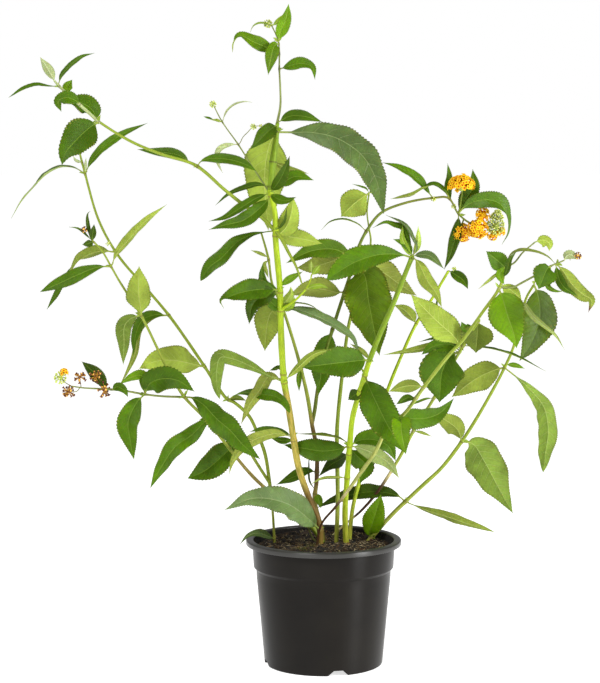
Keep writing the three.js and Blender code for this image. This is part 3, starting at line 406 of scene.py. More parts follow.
# Smaller leaves, the same way, gathered in one piece for each group
SMALL_LEAVES = {
    "tall": [
        ("top", (-47, 660), 15, (0, 10, 30, 60, 150), "bright", [
            (-57, 666, 4), (-72, 672, 10), (-88, 679, 14), (-94, 673, 16), (-96, 662, 17)]),
        ("top", (-47, 671), 14, 0, "bright", [(-51, 669, 8), (-55, 656, 16), (-58, 638, 18)]),
        ("top", (-46, 644), 13, -25, "mid", [
            (-36, 647, 4), (-22, 650, 10), (-11, 646, 14), (-8, 633, 15)]),
        ("top", (-53, 690), 5, 0, "lime", [(-47, 695, 2), (-42, 700, 4), (-39, 704, 5)]),
        ("top", (-54, 690), 3, (30, 60), "lime", [
            (-58, 692, 1), (-68, 692.5, 3), (-74, 689, 4), (-77, 683, 4)]),
        ("tall_shoot", (-11, 426), 6, 160, "lime", [(-12, 432, 1), (-12, 440, 2)]),
        ("tall_shoot", (-11, 424), 6, 20, "lime", [(-7, 429, 2), (-2, 436, 4)]),
        ("tall_shoot", (-17, 409), 7, 30, "lime", [(-10, 412, 3), (-1, 413, 6), (7, 410, 8)]),
        ("tall", (-43, 393), 10, 180, "lime", [(-38, 397, -3), (-34, 405, -5), (-34, 412, -6)]),
        ("tall", (-43, 388), 9, 20, "lime", [(-38, 389, 3), (-32, 394, 5), (-30, 401, 6)]),
        ("crown", (-45, 587), 13, -20, "mid", [(-35, 594, 5), (-20, 594, 12), (0, 588, 16)]),
        ("crown", (-47, 585), 17, 10, "dark", [(-57, 579, 12), (-66, 570, 20), (-77, 559, 26)]),
        ("tall", (-56, 513), 13, 15, "dark", [(-47, 524, 10), (-40, 538, 14), (-35, 552, 16)]),
        ("crown", (-57, 519), 9, 50, "mid", [
            (-70, 521, -6), (-85, 517, -12), (-100, 511, -16), (-115, 499, -18)]),
        ("tall", (-58, 512), 11, 30, "mid", [
            (-70, 507, 10), (-88, 496, 18), (-105, 486, 24), (-122, 482, 28)]),
        ("tall", (-56, 512), 11, -20, "mid", [(-48, 506, 14), (-38, 504, 26), (-28, 508, 36)]),
        ("crown", (-54, 519), 16, -30, "mid", [(-42, 524, -6), (-28, 530, -12), (-9, 526, -14)]),
        ("crown", (-50, 545), 7, 180, "mid", [(-36, 538, -14), (-26, 536, -18), (-15, 533, -20)]),
        ("tall", (-49, 466), 23, 180, "light", [(-40, 474, -4), (-34, 489, -8), (-31, 508, -10)]),
        ("tall", (-48, 472), 4, 40, "dark", [(-45, 477, 3), (-41, 483, 5), (-38, 498, 6)]),
        ("tall", (-48, 468), 20, 180, "light", [(-38, 466, -8), (-20, 463, -14), (0, 458, -18)]),
        ("tall", (-50, 408), 10, 10, "mid", [(-62, 414, 4), (-65, 424, 6), (-64, 437, 6)]),
        ("tall", (-50, 406), 20, 0, "dark", [(-64, 402, 10), (-75, 392, 16), (-79, 371, 20)]),
        ("tall", (-48, 386), 14, 10, "mid", [(-56, 396, 6), (-62, 404, 8)]),
        ("tall", (-42, 393), 6, -82, "mid", [(-28, 394, 3), (-12, 391, 6), (0, 382, 8)]),
        ("tall", (-46, 412), 8, -10, "bright", [(-36, 419, 2), (-28, 424, 4), (-21, 428, 5)]),
        ("tall", (-40, 309), 9, 180, "light", [(-25, 325, -4), (-8, 339, -8), (15, 344, -12)]),
        ("tall", (-39, 318), 8, 40, "mid", [(-46, 323, -8), (-57, 321, -12)]),
        ("tall", (-33, 249), 9, 30, "mid", [(-50, 255, -6), (-65, 257, -10), (-79, 254, -12)]),
        ("tall", (-33, 245), 8, 20, "mid", [(-42, 244, -4), (-57, 248, -6)]),
        ("tall", (-41, 310), 15, 175, "olive", [
            (-58, 314, -10), (-68, 299, -16), (-78, 285, -20), (-88, 262, -24)]),
    ],
    "arm": [
        ("arm", (-140, 544), 12, 25, "mid", [(-155, 553, -6), (-178, 556, -10), (-198, 559, -12)]),
        ("arm_end", (-240, 589), 21, 15, "mid", [
            (-247, 602, -10), (-259, 609, -12), (-276, 612, -12)]),
        ("arm_end", (-259, 606), 14, 10, "mid", [
            (-264, 611, 4), (-274, 614, 8), (-282, 610, 10), (-279, 599, 11)]),
        ("arm_end", (-272, 618), 10, 0, "bright", [(-272, 625, -8), (-267, 633, -14)]),
        ("arm_end", (-281, 628), 9, -50, "mid", [
            (-278, 637, -2), (-268, 648, -5), (-256, 657, -7), (-243, 661, -8)]),
        ("arm_end", (-285, 631), 10, 170, "silver", [(-291, 641, 3), (-296, 649, 5), (-301, 657, 6)]),
        ("twig", (-90, 564), 7, 150, "silver", [
            (-97, 564, 2), (-105, 562, 4), (-111, 557, 5), (-112, 546, 6), (-107, 534, 6)]),
        ("twig", (-107, 588), 8, (150, 30), "mid", [(-117, 590, 2), (-127, 594, 4)]),
        ("twig", (-107, 588), 5, 120, "silver", [
            (-103, 600, 1), (-95, 607, 2), (-85, 610, 3), (-75, 609, 3)]),
    ],
    "left": [
        ("left", (-254, 533), 12, -35, "mid", [
            (-248, 545, 2), (-235, 560, 4), (-215, 574, 6), (-187, 587, 6)]),
        ("left", (-254, 533), 4, 150, "silver", [(-254, 542, 2), (-253, 550, 3)]),
        ("left", (-258, 545), 4, 150, "silver", [(-264, 547, 2), (-267, 552, 3)]),
        ("left", (-168, 379), 14, 30, "mid", [
            (-182, 381, 3), (-195, 374, 7), (-202, 356, 10), (-204, 337, 12)]),
        ("left", (-168, 379), 8, 170, "mid", [
            (-183, 378, -4), (-197, 366, -7), (-202, 340, -8), (-211, 319, -9), (-220, 303, -9)]),
        ("left", (-101, 290), 7, -30, "olive", [(-92, 291, 3), (-82, 288, 5)]),
        ("left", (-53, 136), 10, 30, "grey", [
            (-60, 140, 14), (-69, 142.5, 27), (-80, 140, 38), (-90, 130, 45)]),
    ],
    "low": [
        ("low", (-227, 433), 12, -140, "mid", [
            (-221, 447, 2), (-207, 464, 6), (-190, 482, 8), (-167, 500, 9)]),
        ("low", (-195, 380), 17, 170, "faded", [
            (-205, 378, -5), (-213, 370, -10), (-214, 350, -14), (-215, 327, -16)]),
        ("low", (-246, 461), 8, 20, "dark", [(-247, 467, 2), (-245, 479, 3)]),
        ("low", (-246, 460), 8, 10, "dark", [(-251, 458, 3), (-258, 457, 4)]),
        ("low", (-248, 462), 5, 30, "dark", [(-252, 478, 1), (-252, 490, 2), (-249, 493, 3)]),
        ("low", (-248, 462), 3, 30, "mid", [(-262, 474, 1), (-272, 476, 2)]),
        ("spray", (-192, 296), 12, 15, "bright", [(-195, 315, 6), (-205, 314, 8), (-219, 306, 9)]),
        ("spray", (-232, 302), 15, 5, "dark", [(-240, 312, -2), (-248, 320, -5), (-260, 331, -8)]),
        ("spray", (-228, 300), 10, -10, "mid", [(-221, 303, 5), (-214, 299, 9), (-210, 292, 11)]),
    ],
    "flower": [
        ("flower", (35, 442), 30, 165, "olive", [
            (18, 442, -4), (4, 437, -8), (-12, 433, -10), (-28, 432, -12)]),
        ("flower", (31, 430), 32, 170, "olive", [
            (46, 436, -8), (64, 428, -14), (82, 415, -18), (102, 402, -20)]),
        ("flower", (25, 405), 24, 160, "olive", [
            (15, 406, 2), (-8, 410, 6), (-25, 406, 9), (-36, 402, 10)]),
        ("flower", (11, 366), 28, 0, "mid", [(6, 352, 4), (0, 325, 10), (-4, 294, 14)]),
        ("flower", (47, 471), 8, 80, "mid", [(38, 479, 0), (22, 484, 2), (8, 481, 3), (-1, 473, 4)]),
        ("flower", (118, 507), 15, 50, "mid", [
            (108, 520, 4), (95, 532, 8), (80, 540, 10), (64, 545, 12)]),
        ("flower", (137, 507), 12, (20, 160), "mid", [
            (131, 515, 4), (120, 521, 8), (108, 517, 10), (98, 511, 11), (85, 508, 12),
            (73, 506, 12)]),
        ("flower", (139, 503), 9, 0, "mid", [(135, 515, -5), (136, 530, -8), (134, 544, -9)]),
        ("flower", (146, 490), 18, 0, "mid", [(152, 503, -6), (162, 520, -10), (161, 538, -12)]),
        ("flower", (146, 490), 13, 10, "dark", [
            (146, 482, -6), (143, 465, -12), (138, 447, -12), (131, 430, -10)]),
    ],
    "bright": [
        ("middle", (50, 512), 2.5, 30, "mid", [(47, 517, 1), (42, 519, 1), (32, 522, 2)]),
        ("bright", (51, 332), 6, 160, "mid", [(47, 338, -3), (40, 344, -6), (30, 350, -8)]),
        ("bright", (41, 300), 14, 0, "dark", [(36, 295, -4), (28, 289, -6)]),
        ("bright", (30, 241), 12, 78, "olive", [(18, 247, 2), (0, 250, -4), (-28, 252, -20)]),
        ("bright", (29, 230), 16, 10, "dark", [(18, 223, -25), (8, 217, -38), (-4, 205, -42)]),
        ("bright", (30, 239), 23, -15, "mid", [
            (42, 245, -3), (58, 245, -6), (72, 238, -8), (80, 222, -9)]),
        ("bright", (30, 239), 17, 175, "grey", [
            (42, 236, 4), (58, 229, 7), (72, 220, 8), (84, 203, 8)]),
        ("bright", (29, 236), 24, 20, "mid", [(38, 228, -12), (48, 216, -18), (41, 197, -20)]),
        ("bright_top", (97, 444), 8, 60, "grey", [
            (101, 452, 2), (97, 464, 4), (88, 478, 5), (68, 489, 6)]),
        ("bright_top", (98, 444), 9, -20, "grey", [(105, 446, 4), (115, 445, 7), (131, 431, 10)]),
        ("bright_top", (96, 443), 7, 0, "lime", [(91, 452, 3), (86, 464, 4), (86, 478, 4)]),
        ("bright_top", (98, 444), 7, 180, "lime", [(102, 455, -3), (103, 466, -4), (103, 477, -4)]),
        ("bright_top", (99, 443), 15, 170, "mid", [
            (103, 438, 4), (113, 418, 12), (123, 404, 16), (129, 389, 18)]),
        ("bright_top", (95, 448), 8, 10, "mid", [(90, 457, 2), (76, 463, 4)]),
        ("bright_top", (97, 445), 7, 30, "mid", [
            (86, 475, 1), (78, 478, 2), (68, 481, 3), (54, 475, 4)]),
        ("bright", (27, 204), 4, 160, "mid", [(15, 204, 3), (0, 203, 4), (-13, 196, 5)]),
    ],
    "slim": [
        ("slim", (-5, 210), 13, 20, "mid", [(-16, 211, -4), (-32, 204, -8), (-50, 196, -10)]),
        ("slim", (-7, 186), 9, 0, "bright", [(-4, 181, 4), (-1, 170, 6)]),
        ("slim", (-7, 190), 5, 60, "dark", [(-14, 200, 2), (-15, 215, 3), (-14, 229, 3)]),
        ("slim", (-24, 322), 6, 0, "bright", [(-25, 315, 4), (-25, 298, 6)]),
        ("slim", (-58, 441), 5, 160, "mid", [(-62, 436, 2), (-60, 428, 3), (-58, 421, 3)]),
        ("slim", (-58, 443), 4, 160, "mid", [(-66, 447, 2), (-77, 451, 3)]),
    ],
    "behind": [
        ("behind", (101, 372), 15, 150, "mid", [(95, 380, 4), (88, 387, 7), (77, 392, 9)]),
        ("behind", (136, 429), 13, -10, "mid", [(143, 425, 5), (152, 418, 10), (157, 409, 14)]),
        ("behind", (125, 410), 3, 40, "mid", [(125, 383, 4), (133, 382, 5), (139, 374, 6)]),
    ],
    "front": [
        ("front", (110, 303), 14, 180, "mid", [(104, 304, 2), (90, 304, 6), (72, 298, 8)]),
        ("front", (197, 432), 19, 0, "mid", [(193, 436, 6), (186, 442, 10), (176, 450, 14)]),
        ("front", (198, 433), 9, 0, "bright", [(194, 430, 5), (191, 424, 8), (196, 414, 10)]),
        ("front", (197, 432), 9, (-80, -60), "faded", [
            (203, 446, 2), (212, 450, 4), (228, 449, 6), (242, 444, 8), (251, 436, 10)]),
        ("front", (196, 420), 6, 0, "dark", [(199, 430, 5), (202, 441, 8), (209, 450, 10)]),
        ("front_spur", (245, 434), 26, 0, "mid", [(242, 431, 4), (238, 422, 8), (233, 409, 12)]),
        ("front", (196, 430), 4, 150, "mid", [(188, 425, 3), (178, 417, 5), (168, 409, 6)]),
        ("front_twig", (229, 460), 13, 160, "light", [(237, 462, 1), (244, 458, 2), (244, 450, 3)]),
        ("front_spur", (251, 436), 10, 10, "mid", [(256, 418, 3), (262, 410, 5), (275, 402, 7)]),
        ("front_spur", (260, 440), 11, 165, "silver", [(263, 445, 1), (268, 446, 2), (274, 441, 3)]),
        ("front_spur", (246, 434), 6, 0, "bright", [
            (245, 428, 2), (243, 412, 4), (252, 407, 6), (260, 407, 7)]),
        ("front", (198, 412), 15, 160, "light", [(203, 408, 2), (209, 403, 4), (215, 396, 5)]),
        ("front", (101, 291), 8, 0, "mid", [(97, 291, -1), (92, 291, -3), (80, 284, -5)]),
        ("front", (84, 270), 23, 5, "mid", [
            (92, 269, -24), (112, 269, -34), (128, 275, -40), (143, 291, -44)]),
        ("front", (86, 272), 21, 0, "bright", [(86, 268, 12), (86, 255, 24), (91, 229, 34)]),
    ],
    "rear": [
        ("rear", (149, 342), 17, 0, "mid", [(139, 349, -5), (120, 347, -8), (107, 338, -10)]),
        ("rear", (148, 341), 50, 0, "mid", [(140, 338, -5), (130, 321, -7), (127, 286, -8)]),
        ("rear", (148, 345), 8, 60, "mid", [(138, 352, 3), (122, 355, 6), (104, 352, 8)]),
        ("rear", (146, 342), 9, 150, "mid", [(125, 348, -14), (100, 343, -18), (66, 338, -20)]),
        ("rear", (150, 347), 8, 10, "dark", [(151, 353, -3), (150, 358, -5), (139, 370, -8)]),
        ("rear", (168, 374), 36, 0, "olive", [(168, 369, -6), (167, 357, -8), (166, 340, -8)]),
        ("rear", (160, 362), 10, 10, "mid", [(157, 366, 3), (153, 368, 4), (150, 374, 6)]),
        ("rear", (152, 348), 10, -78, "mid", [
            (163, 347, 2), (185, 344, 4), (210, 336, 6), (242, 320, 8)]),
        ("rear", (99, 255), 4, 150, "mid", [(107, 254, 2), (119, 249, 3)]),
        ("rear", (121, 291), 3, 20, "mid", [(112, 290, 1), (102, 286, 2), (91, 282, 3)]),
    ],
    "right": [
        ("right", (151, 243), 22, 180, "mid", [(147, 256, 8), (135, 266, 16), (120, 274, 22)]),
        ("right", (90, 178), 19, 30, "dark", [
            (82, 184, 2), (62, 188, 0), (42, 187, -2), (18, 181, -2), (-7, 170, -1)]),
        ("right", (199, 327), 6, 10, "bright", [(208, 327, 3), (219, 323, 5)]),
        ("right", (218, 393), 6.5, 10, "silver", [
            (219, 391, 28), (227, 380, 44), (239, 370, 54), (252, 359, 58), (262, 343, 60)]),
    ],
}

# Thin twigs: the cane each one belongs to, its stem, place on it, radius and rib
TWIGS = {
    "bud_twig": ("cane_tall", "twig", (-90, 564), 0.45, [
        (-88, 566, 1), (-85, 572, 2), (-80, 577, 3), (-74, 583, 3), (-66, 584, 4)]),
    "old_stalk": ("cane_low", "low", (-2, 126), 1.2, [(-9, 136, -2), (-14, 146, -3), (-19, 156, -3)]),
    "spray_up": ("cane_low", "spray", (-261, 302), 0.5, [(-261, 305, 0), (-262, 311, 1)]),
    "spray_down": ("cane_low", "spray", (-262, 302), 0.5, [(-266, 298, 1), (-272, 298, 2)]),
    "spray_end": ("cane_low", "spray", (-271, 304), 0.5, [(-278, 308, 0), (-282, 313, 0)]),
    "spray_back": ("cane_low", "spray", (-236, 301), 0.5, [(-240, 306, -2), (-244, 312, -3)]),
}

# Flower heads: kind, (x, z, depth), radius, how many florets, and how low they reach, from 1
# for the top only to -1 for all round
HEADS = {
    "head_top": ("florets", [("open", (149, 518, 46), 16.5, 120, 0)]),
    "head_lower": ("florets", [("open", (150, 470, 57), 11.5, 60, -1)]),
    "head_middle": ("florets", [
        ("open", (167, 474, 48), 12.5, 70, -1), ("open", (172, 489, 50), 8.5, 24, -1)]),
    "head_green": ("buds", [
        ("bud", (186, 477, 60), 11, 80, -1), ("bud", (187, 485, 60), 8.5, 40, 0),
        ("bud", (188, 491, 60), 5, 16, -0.3), ("open", (183, 467, 62), 6, 12, -1),
        ("open", (192, 471, 62), 5.5, 10, -1)]),
    "head_withered": ("withered", [("withered", (-236, 300, -23), 9, 22, -1)]),
}
LOOSE_HEADS = {
    "withered_heads": ("withered", [
        ("withered", (-245, 315, -24), 7.5, 17, -1), ("withered", (-262, 314, -24), 7.5, 17, -1),
        ("withered", (-275, 298, -24), 8.5, 21, -1), ("bud", (-283, 313, -24), 7.5, 30, -1),
        ("open", (-279, 318, -24), 5, 9, -0.2)]),
    "bud_clusters": ("buds", [
        ("bud", (-58, 692, -18), 5, 22, -1), ("bud", (-117, 607, -20), 4.2, 16, -1),
        ("bud", (-74, 583, -24), 3.6, 12, -1), ("bud", (-66, 584, -26), 2, 6, -1),
        ("bud", (-230, 458, -31), 3, 8, -1), ("bud", (119, 506, 47), 3.4, 12, -1),
        ("bud", (142, 431, 82), 3, 10, -1), ("bud", (141, 498, 50), 3.2, 12, -1),
        ("withered", (275, 445, -62), 4.2, 9, -1), ("withered", (-256, 473, -33), 4, 8, -1)]),
}

# The solid core of each kind of head, as a share of its radius; a head that leaves its
# underside bare has a small green one
CORE_SHARES = {"open": 0.56, "bud": 0.36, "withered": 0.24}
CORE_ROWS = 7
CORE_SIDES = 12
CORE_LUCK = 0.3
DOMED_ABOVE = -0.3


def flared(z, depth):
    """A stem's depth: the canes lean away from the crown as they rise."""
    rise = min(max((z - FLARE_START) / FLARE_HEIGHT, 0), 1)
    return CROWN_DEPTH + (depth - CROWN_DEPTH) * (1 + (FLARE - 1) * rise)


def placed(x, z, depth):
    """The place in space of a point of the outline."""
    spread = (depth - EYE[1]) / -EYE[1]
    aside = x - OUTLINE_SHIFT - EYE[0]
    return np.array((EYE[0] + aside * spread, depth, EYE[2] + (z - EYE[2]) * spread))


def flattened(points):
    """Where points in space lie on the outline."""
    spread = (points[:, 1] - EYE[1]) / -EYE[1]
    x = EYE[0] + (points[:, 0] - EYE[0]) / spread + OUTLINE_SHIFT
    return np.column_stack((x, EYE[2] + (points[:, 2] - EYE[2]) / spread))


def unit(vectors):
    return vectors / np.linalg.norm(vectors, axis=-1, keepdims=True)


def smooth(value):
    value = np.clip(value, 0, 1)
    return value * value * (3 - 2 * value)


def circle_angles(count):
    return np.arange(count) * 2 * math.pi / count


def flat_ring(radius, height, angles):
    """A level ring of points round the upright axis."""
    heights = np.broadcast_to(height, angles.shape)
    return np.column_stack((radius * np.cos(angles), radius * np.sin(angles), heights))


def random_way(luck, spread=1):
    return np.array([luck.gauss(0, spread) for _ in range(3)])


class Curve:
    """A Catmull-Rom curve through points, paced by the root of the distance between them."""

    DIVISIONS = 200
    NUDGE = 0.0001

    def __init__(self, points):
        points = np.array(points, float)
        before = 2 * points[0] - points[1]
        after = 2 * points[-1] - points[-2]
        self.points = np.vstack((before, points, after))
        self.spans = len(points) - 1
        self.paces = np.sqrt(np.linalg.norm(np.diff(self.points, axis=0), axis=1))
        self.places = np.linspace(0, 1, self.DIVISIONS + 1)
        steps = np.linalg.norm(np.diff(self.at(self.places), axis=0), axis=1)
        self.walked = np.concatenate(([0], np.cumsum(steps)))
        self.length = self.walked[-1]

    def at(self, places):
        spot = np.clip(np.asarray(places, float), 0, 1) * self.spans
        index = np.minimum(spot.astype(int), self.spans - 1)
        weight = (spot - index)[..., None]
        p0, p1, p2, p3 = (self.points[index + step] for step in range(4))
        d0, d1, d2 = (self.paces[index + step][..., None] for step in range(3))
        leave = ((p1 - p0) / d0 - (p2 - p0) / (d0 + d1) + (p2 - p1) / d1) * d1
        arrive = ((p2 - p1) / d1 - (p3 - p1) / (d1 + d2) + (p3 - p2) / d2) * d1
        cube = 2 * p1 - 2 * p2 + leave + arrive
        square = 3 * p2 - 3 * p1 - 2 * leave - arrive
        return ((cube * weight + square) * weight + leave) * weight + p1

    def place_of(self, shares):
        """The curve's own places for shares of its length."""
        return np.interp(np.asarray(shares) * self.length, self.walked, self.places)

    def heading(self, places):
        ahead = self.at(np.minimum(np.asarray(places) + self.NUDGE, 1))
        behind = self.at(np.maximum(np.asarray(places) - self.NUDGE, 0))
        return unit(ahead - behind)


def link(name, data):
    thing = bpy.data.objects.new(name, data)
    bpy.context.scene.collection.objects.link(thing)
    return thing


def settle(piece, slot, replaced=()):
    """Hangs a piece on the root body and hides the imported parts it stands for; its slot is not used.
    """
    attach(piece, "root")
    if replaced:
        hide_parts(*replaced)
    return piece


def mesh_of(name, points, faces, materials=()):
    """A mesh from points in millimetres."""
    mesh = bpy.data.meshes.new(name)
    mesh.from_pydata((np.vstack(points) * MM).tolist(), [], faces)
    for material in materials:
        mesh.materials.append(material)
    return mesh


def smoothed(mesh, crease):
    """Shades a mesh smooth, but for edges sharper than a crease in degrees."""
    mesh.polygons.foreach_set("use_smooth", [True] * len(mesh.polygons))
    mesh.update()
    mesh.set_sharp_from_angle(angle=math.radians(crease))


class Piece:
    """Gathers the faces of one piece, in millimetres. Each point carries two triples for the
    materials: its place on the blade, stem or petal, and its look."""

    def __init__(self):
        self.points = []
        self.faces = []
        self.finishes = []
        self.places = []
        self.looks = []
        self.count = 0

    def add(self, points, faces, finishes, place=(0, 0, 0), look=(0, 0, 0)):
        shape = (len(points), 3)
        self.points.append(points)
        self.faces += [tuple(corner + self.count for corner in face) for face in faces]
        self.finishes += [finishes] * len(faces) if np.ndim(finishes) == 0 else list(finishes)
        self.places.append(np.broadcast_to(place, shape))
        self.looks.append(np.broadcast_to(look, shape))
        self.count += len(points)

    def make(self, name, materials, slot, replaced=(), crease=60):
        mesh = mesh_of(name, self.points, self.faces, materials)
        mesh.polygons.foreach_set("material_index", self.finishes)
        for title, rows in (("place", self.places), ("look", self.looks)):
            layer = mesh.attributes.new(title, "FLOAT_VECTOR", "POINT")
            layer.data.foreach_set("vector", np.vstack(rows).astype(np.float32).ravel())
        smoothed(mesh, crease)
        return settle(link(name, mesh), slot, replaced)


def tube_faces(rings, sides):
    """Quads round a tube of rings of points, and its two end faces."""
    faces = []
    for ring in range(rings - 1):
        for side in range(sides):
            after = (side + 1) % sides
            low, high = ring * sides, (ring + 1) * sides
            faces.append((low + side, low + after, high + after, high + side))
    last = (rings - 1) * sides
    faces.append(tuple(reversed(range(sides))))
    faces.append(tuple(range(last, last + sides)))
    return faces


def tube_points(centre, side, normal, radii, angles):
    """Rings of points round a curve; radii has a row for each ring."""
    points = (
        centre[:, None]
        + side[:, None] * (radii * np.cos(angles))[..., None]
        + normal[:, None] * (radii * np.sin(angles))[..., None])
    return points.reshape(-1, 3)


def turned_body(piece, foot, axis, outline, sides, finish=0, spin=0, lobes=0, luck=0):
    """A round body on an axis from an outline of (radius, height); a row of three is lobed."""
    axis = unit(np.array(axis, float))
    helper = np.array((0, 0, 1.0)) if abs(axis[2]) < 0.9 else np.array((1.0, 0, 0))
    side = unit(np.cross(helper, axis))
    front = np.cross(axis, side)
    angles = circle_angles(sides)
    circle = np.cos(angles + spin)[:, None] * side + np.sin(angles + spin)[:, None] * front
    wave = 1 - lobes * (0.5 - 0.5 * np.cos(4 * angles)) ** 2
    rings = []
    for radius, height, *lobed in outline:
        shape = wave if lobed else np.ones(sides)
        rings.append(foot + axis * height + circle * (radius * shape)[:, None])
    along = np.repeat(np.linspace(0, 1, len(outline)), sides)
    place = np.column_stack((along, np.tile(angles, len(outline)), np.zeros(len(along))))
    piece.add(np.vstack(rings), tube_faces(len(outline), sides), finish, place, (0, luck, 0))


# Materials
class Finish:
    """A material and the means to wire its nodes."""

    def __init__(self, name, roughness, **sockets):
        self.material = bpy.data.materials.new(name)
        self.material.use_nodes = True
        self.nodes = self.material.node_tree.nodes
        self.links = self.material.node_tree.links
        self.shader = self.nodes["Principled BSDF"]
        self.shader.inputs["Roughness"].default_value = roughness
        for title, value in sockets.items():
            self.shader.inputs[title.replace("_", " ")].default_value = value

    def plug(self, source, socket):
        if isinstance(source, bpy.types.NodeSocket):
            self.links.new(source, socket)
        elif socket.type == "RGBA":
            socket.default_value = (*source, 1)
        else:
            socket.default_value = source

    def attribute(self, title):
        """The three parts of an attribute of the mesh."""
        node = self.nodes.new("ShaderNodeAttribute")
        node.attribute_name = title
        split = self.nodes.new("ShaderNodeSeparateXYZ")
        self.links.new(node.outputs["Vector"], split.inputs[0])
        return split.outputs

    def math(self, operation, *values):
        node = self.nodes.new("ShaderNodeMath")
        node.operation = operation
        for value, socket in zip(values, node.inputs):
            self.plug(value, socket)
        return node.outputs[0]

    def times(self, *values):
        return self.math("MULTIPLY", *values)

    def plus(self, *values):
        return self.math("ADD", *values)

    def step(self, value, low, high, start=0, end=1):
        """A value carried smoothly from one span to another."""
        node = self.nodes.new("ShaderNodeMapRange")
        node.interpolation_type = "SMOOTHSTEP"
        for index, item in enumerate((value, low, high, start, end)):
            self.plug(item, node.inputs[index])
        return node.outputs[0]

    def mix(self, share, first, second, blend="MIX"):
        node = self.nodes.new("ShaderNodeMix")
        node.data_type = "RGBA"
        node.blend_type = blend
        for value, index in ((share, 0), (first, 6), (second, 7)):
            self.plug(value, node.inputs[index])
        return node.outputs[2]

    def cover(self, base, colour, value, low, high, start=0, end=1):
        """A colour laid over a base where a value, carried as step does, says so."""
        return self.mix(self.step(value, low, high, start, end), base, colour)

    def vector(self, x, y, z):
        node = self.nodes.new("ShaderNodeCombineXYZ")
        for value, socket in zip((x, y, z), node.inputs):
            self.plug(value, socket)
        return node.outputs[0]

    def grain(self, kind, scale, vector=None, detail=3):
        """Noise or cells, on the piece's own coordinates unless a vector is given."""
        node = self.nodes.new("ShaderNodeTex" + kind)
        if vector is None:
            vector = self.nodes.new("ShaderNodeTexCoord").outputs["Object"]
        self.links.new(vector, node.inputs["Vector"])
        node.inputs["Scale"].default_value = scale
        if kind == "Noise":
            node.inputs["Detail"].default_value = detail
        return node.outputs[0]

    def bump(self, height, distance, strength=1):
        node = self.nodes.new("ShaderNodeBump")
        node.inputs["Distance"].default_value = distance
        node.inputs["Strength"].default_value = strength
        self.links.new(height, node.inputs["Height"])
        self.links.new(node.outputs[0], self.shader.inputs["Normal"])

    def roughen(self, value):
        self.links.new(value, self.shader.inputs["Roughness"])

    def colour(self, value):
        self.plug(value, self.shader.inputs["Base Color"])
        return self.material


def paint(code, amount=1):
    """A colour from its web code, as the shader wants it, made lighter or darker."""
    parts = [int(code[index:index + 2], 16) / 255 for index in (0, 2, 4)]
    linear = (p / 12.92 if p <= 0.04045 else ((p + 0.055) / 1.055) ** 2.4 for p in parts)
    return tuple(min(1, part * amount) for part in linear)


def leaf_finish(name, face, vein, roughness, gloss, vein_depth):
    """Leaf face: mottled between pale veins, with a line along the rib and a fine relief."""
    finish = Finish(
        name, roughness, Specular_IOR_Level=gloss, Subsurface_Weight=0.08, Subsurface_Scale=0.0008)
    across, along, phase = finish.attribute("place")
    distance, luck, browned = finish.attribute("look")
    drift = finish.grain("Noise", 38, detail=2)
    mottle = finish.grain("Noise", 380, detail=4)
    cells = finish.grain("Voronoi", 900)
    base = finish.cover(paint(face, 0.68), paint(face, 1.28), drift, 0.3, 0.7)
    base = finish.cover(base, paint(face, 0.6), mottle, 0.4, 0.7, 0, 0.4)
    base = finish.cover(base, paint(face, 1.5), cells, 0.1, 0.7, 0, 0.25)
    # Each leaf has its own tone
    tone = finish.step(luck, 0, 1, 0.84, 1.14)
    base = finish.mix(1.0, base, finish.vector(tone, tone, tone), "MULTIPLY")
    # The blade is darker beside each vein, a painted shade in the furrows of its quilting, and the
    # vein fades towards the margin and the tip
    gap = finish.math("PINGPONG", phase, 0.5)
    furrow_shade = finish.step(gap, 0, 0.22, 0.5, 0)
    base = finish.mix(finish.times(furrow_shade, across), base, paint(face, 0.55))
    line = finish.step(gap, 0.01, 0.06, 1, 0)
    line = finish.times(line, finish.step(across, 0.4, 0.95, 1, 0))
    line = finish.times(line, finish.step(along, 0.06, 0.16))
    line = finish.times(line, finish.step(along, 0.75, 1, 1, 0.2))
    base = finish.mix(finish.times(line, vein_depth), base, paint(vein))
    # The rib, the stalk, the margin and a dried tip
    middle = finish.step(distance, 0.15, 0.55, 1, 0)
    middle = finish.times(middle, finish.step(along, 0.7, 1, 0.85, 0.1))
    base = finish.mix(middle, base, paint(vein))
    base = finish.cover(base, paint(STALK_COLOUR), along, 0.05, 0.13, 0.8, 0)
    base = finish.cover(base, paint(face, 0.4), across, 0.88, 1, 0, 0.75)
    dried = finish.times(browned, finish.step(along, 0.86, 0.95))
    base = finish.mix(dried, base, paint(DRIED_COLOUR))
    relief = finish.plus(finish.times(cells, 0.5), mottle)
    relief = finish.math("SUBTRACT", relief, finish.times(line, 0.7))
    finish.bump(relief, 0.0005, 0.7)
    return finish.colour(base)


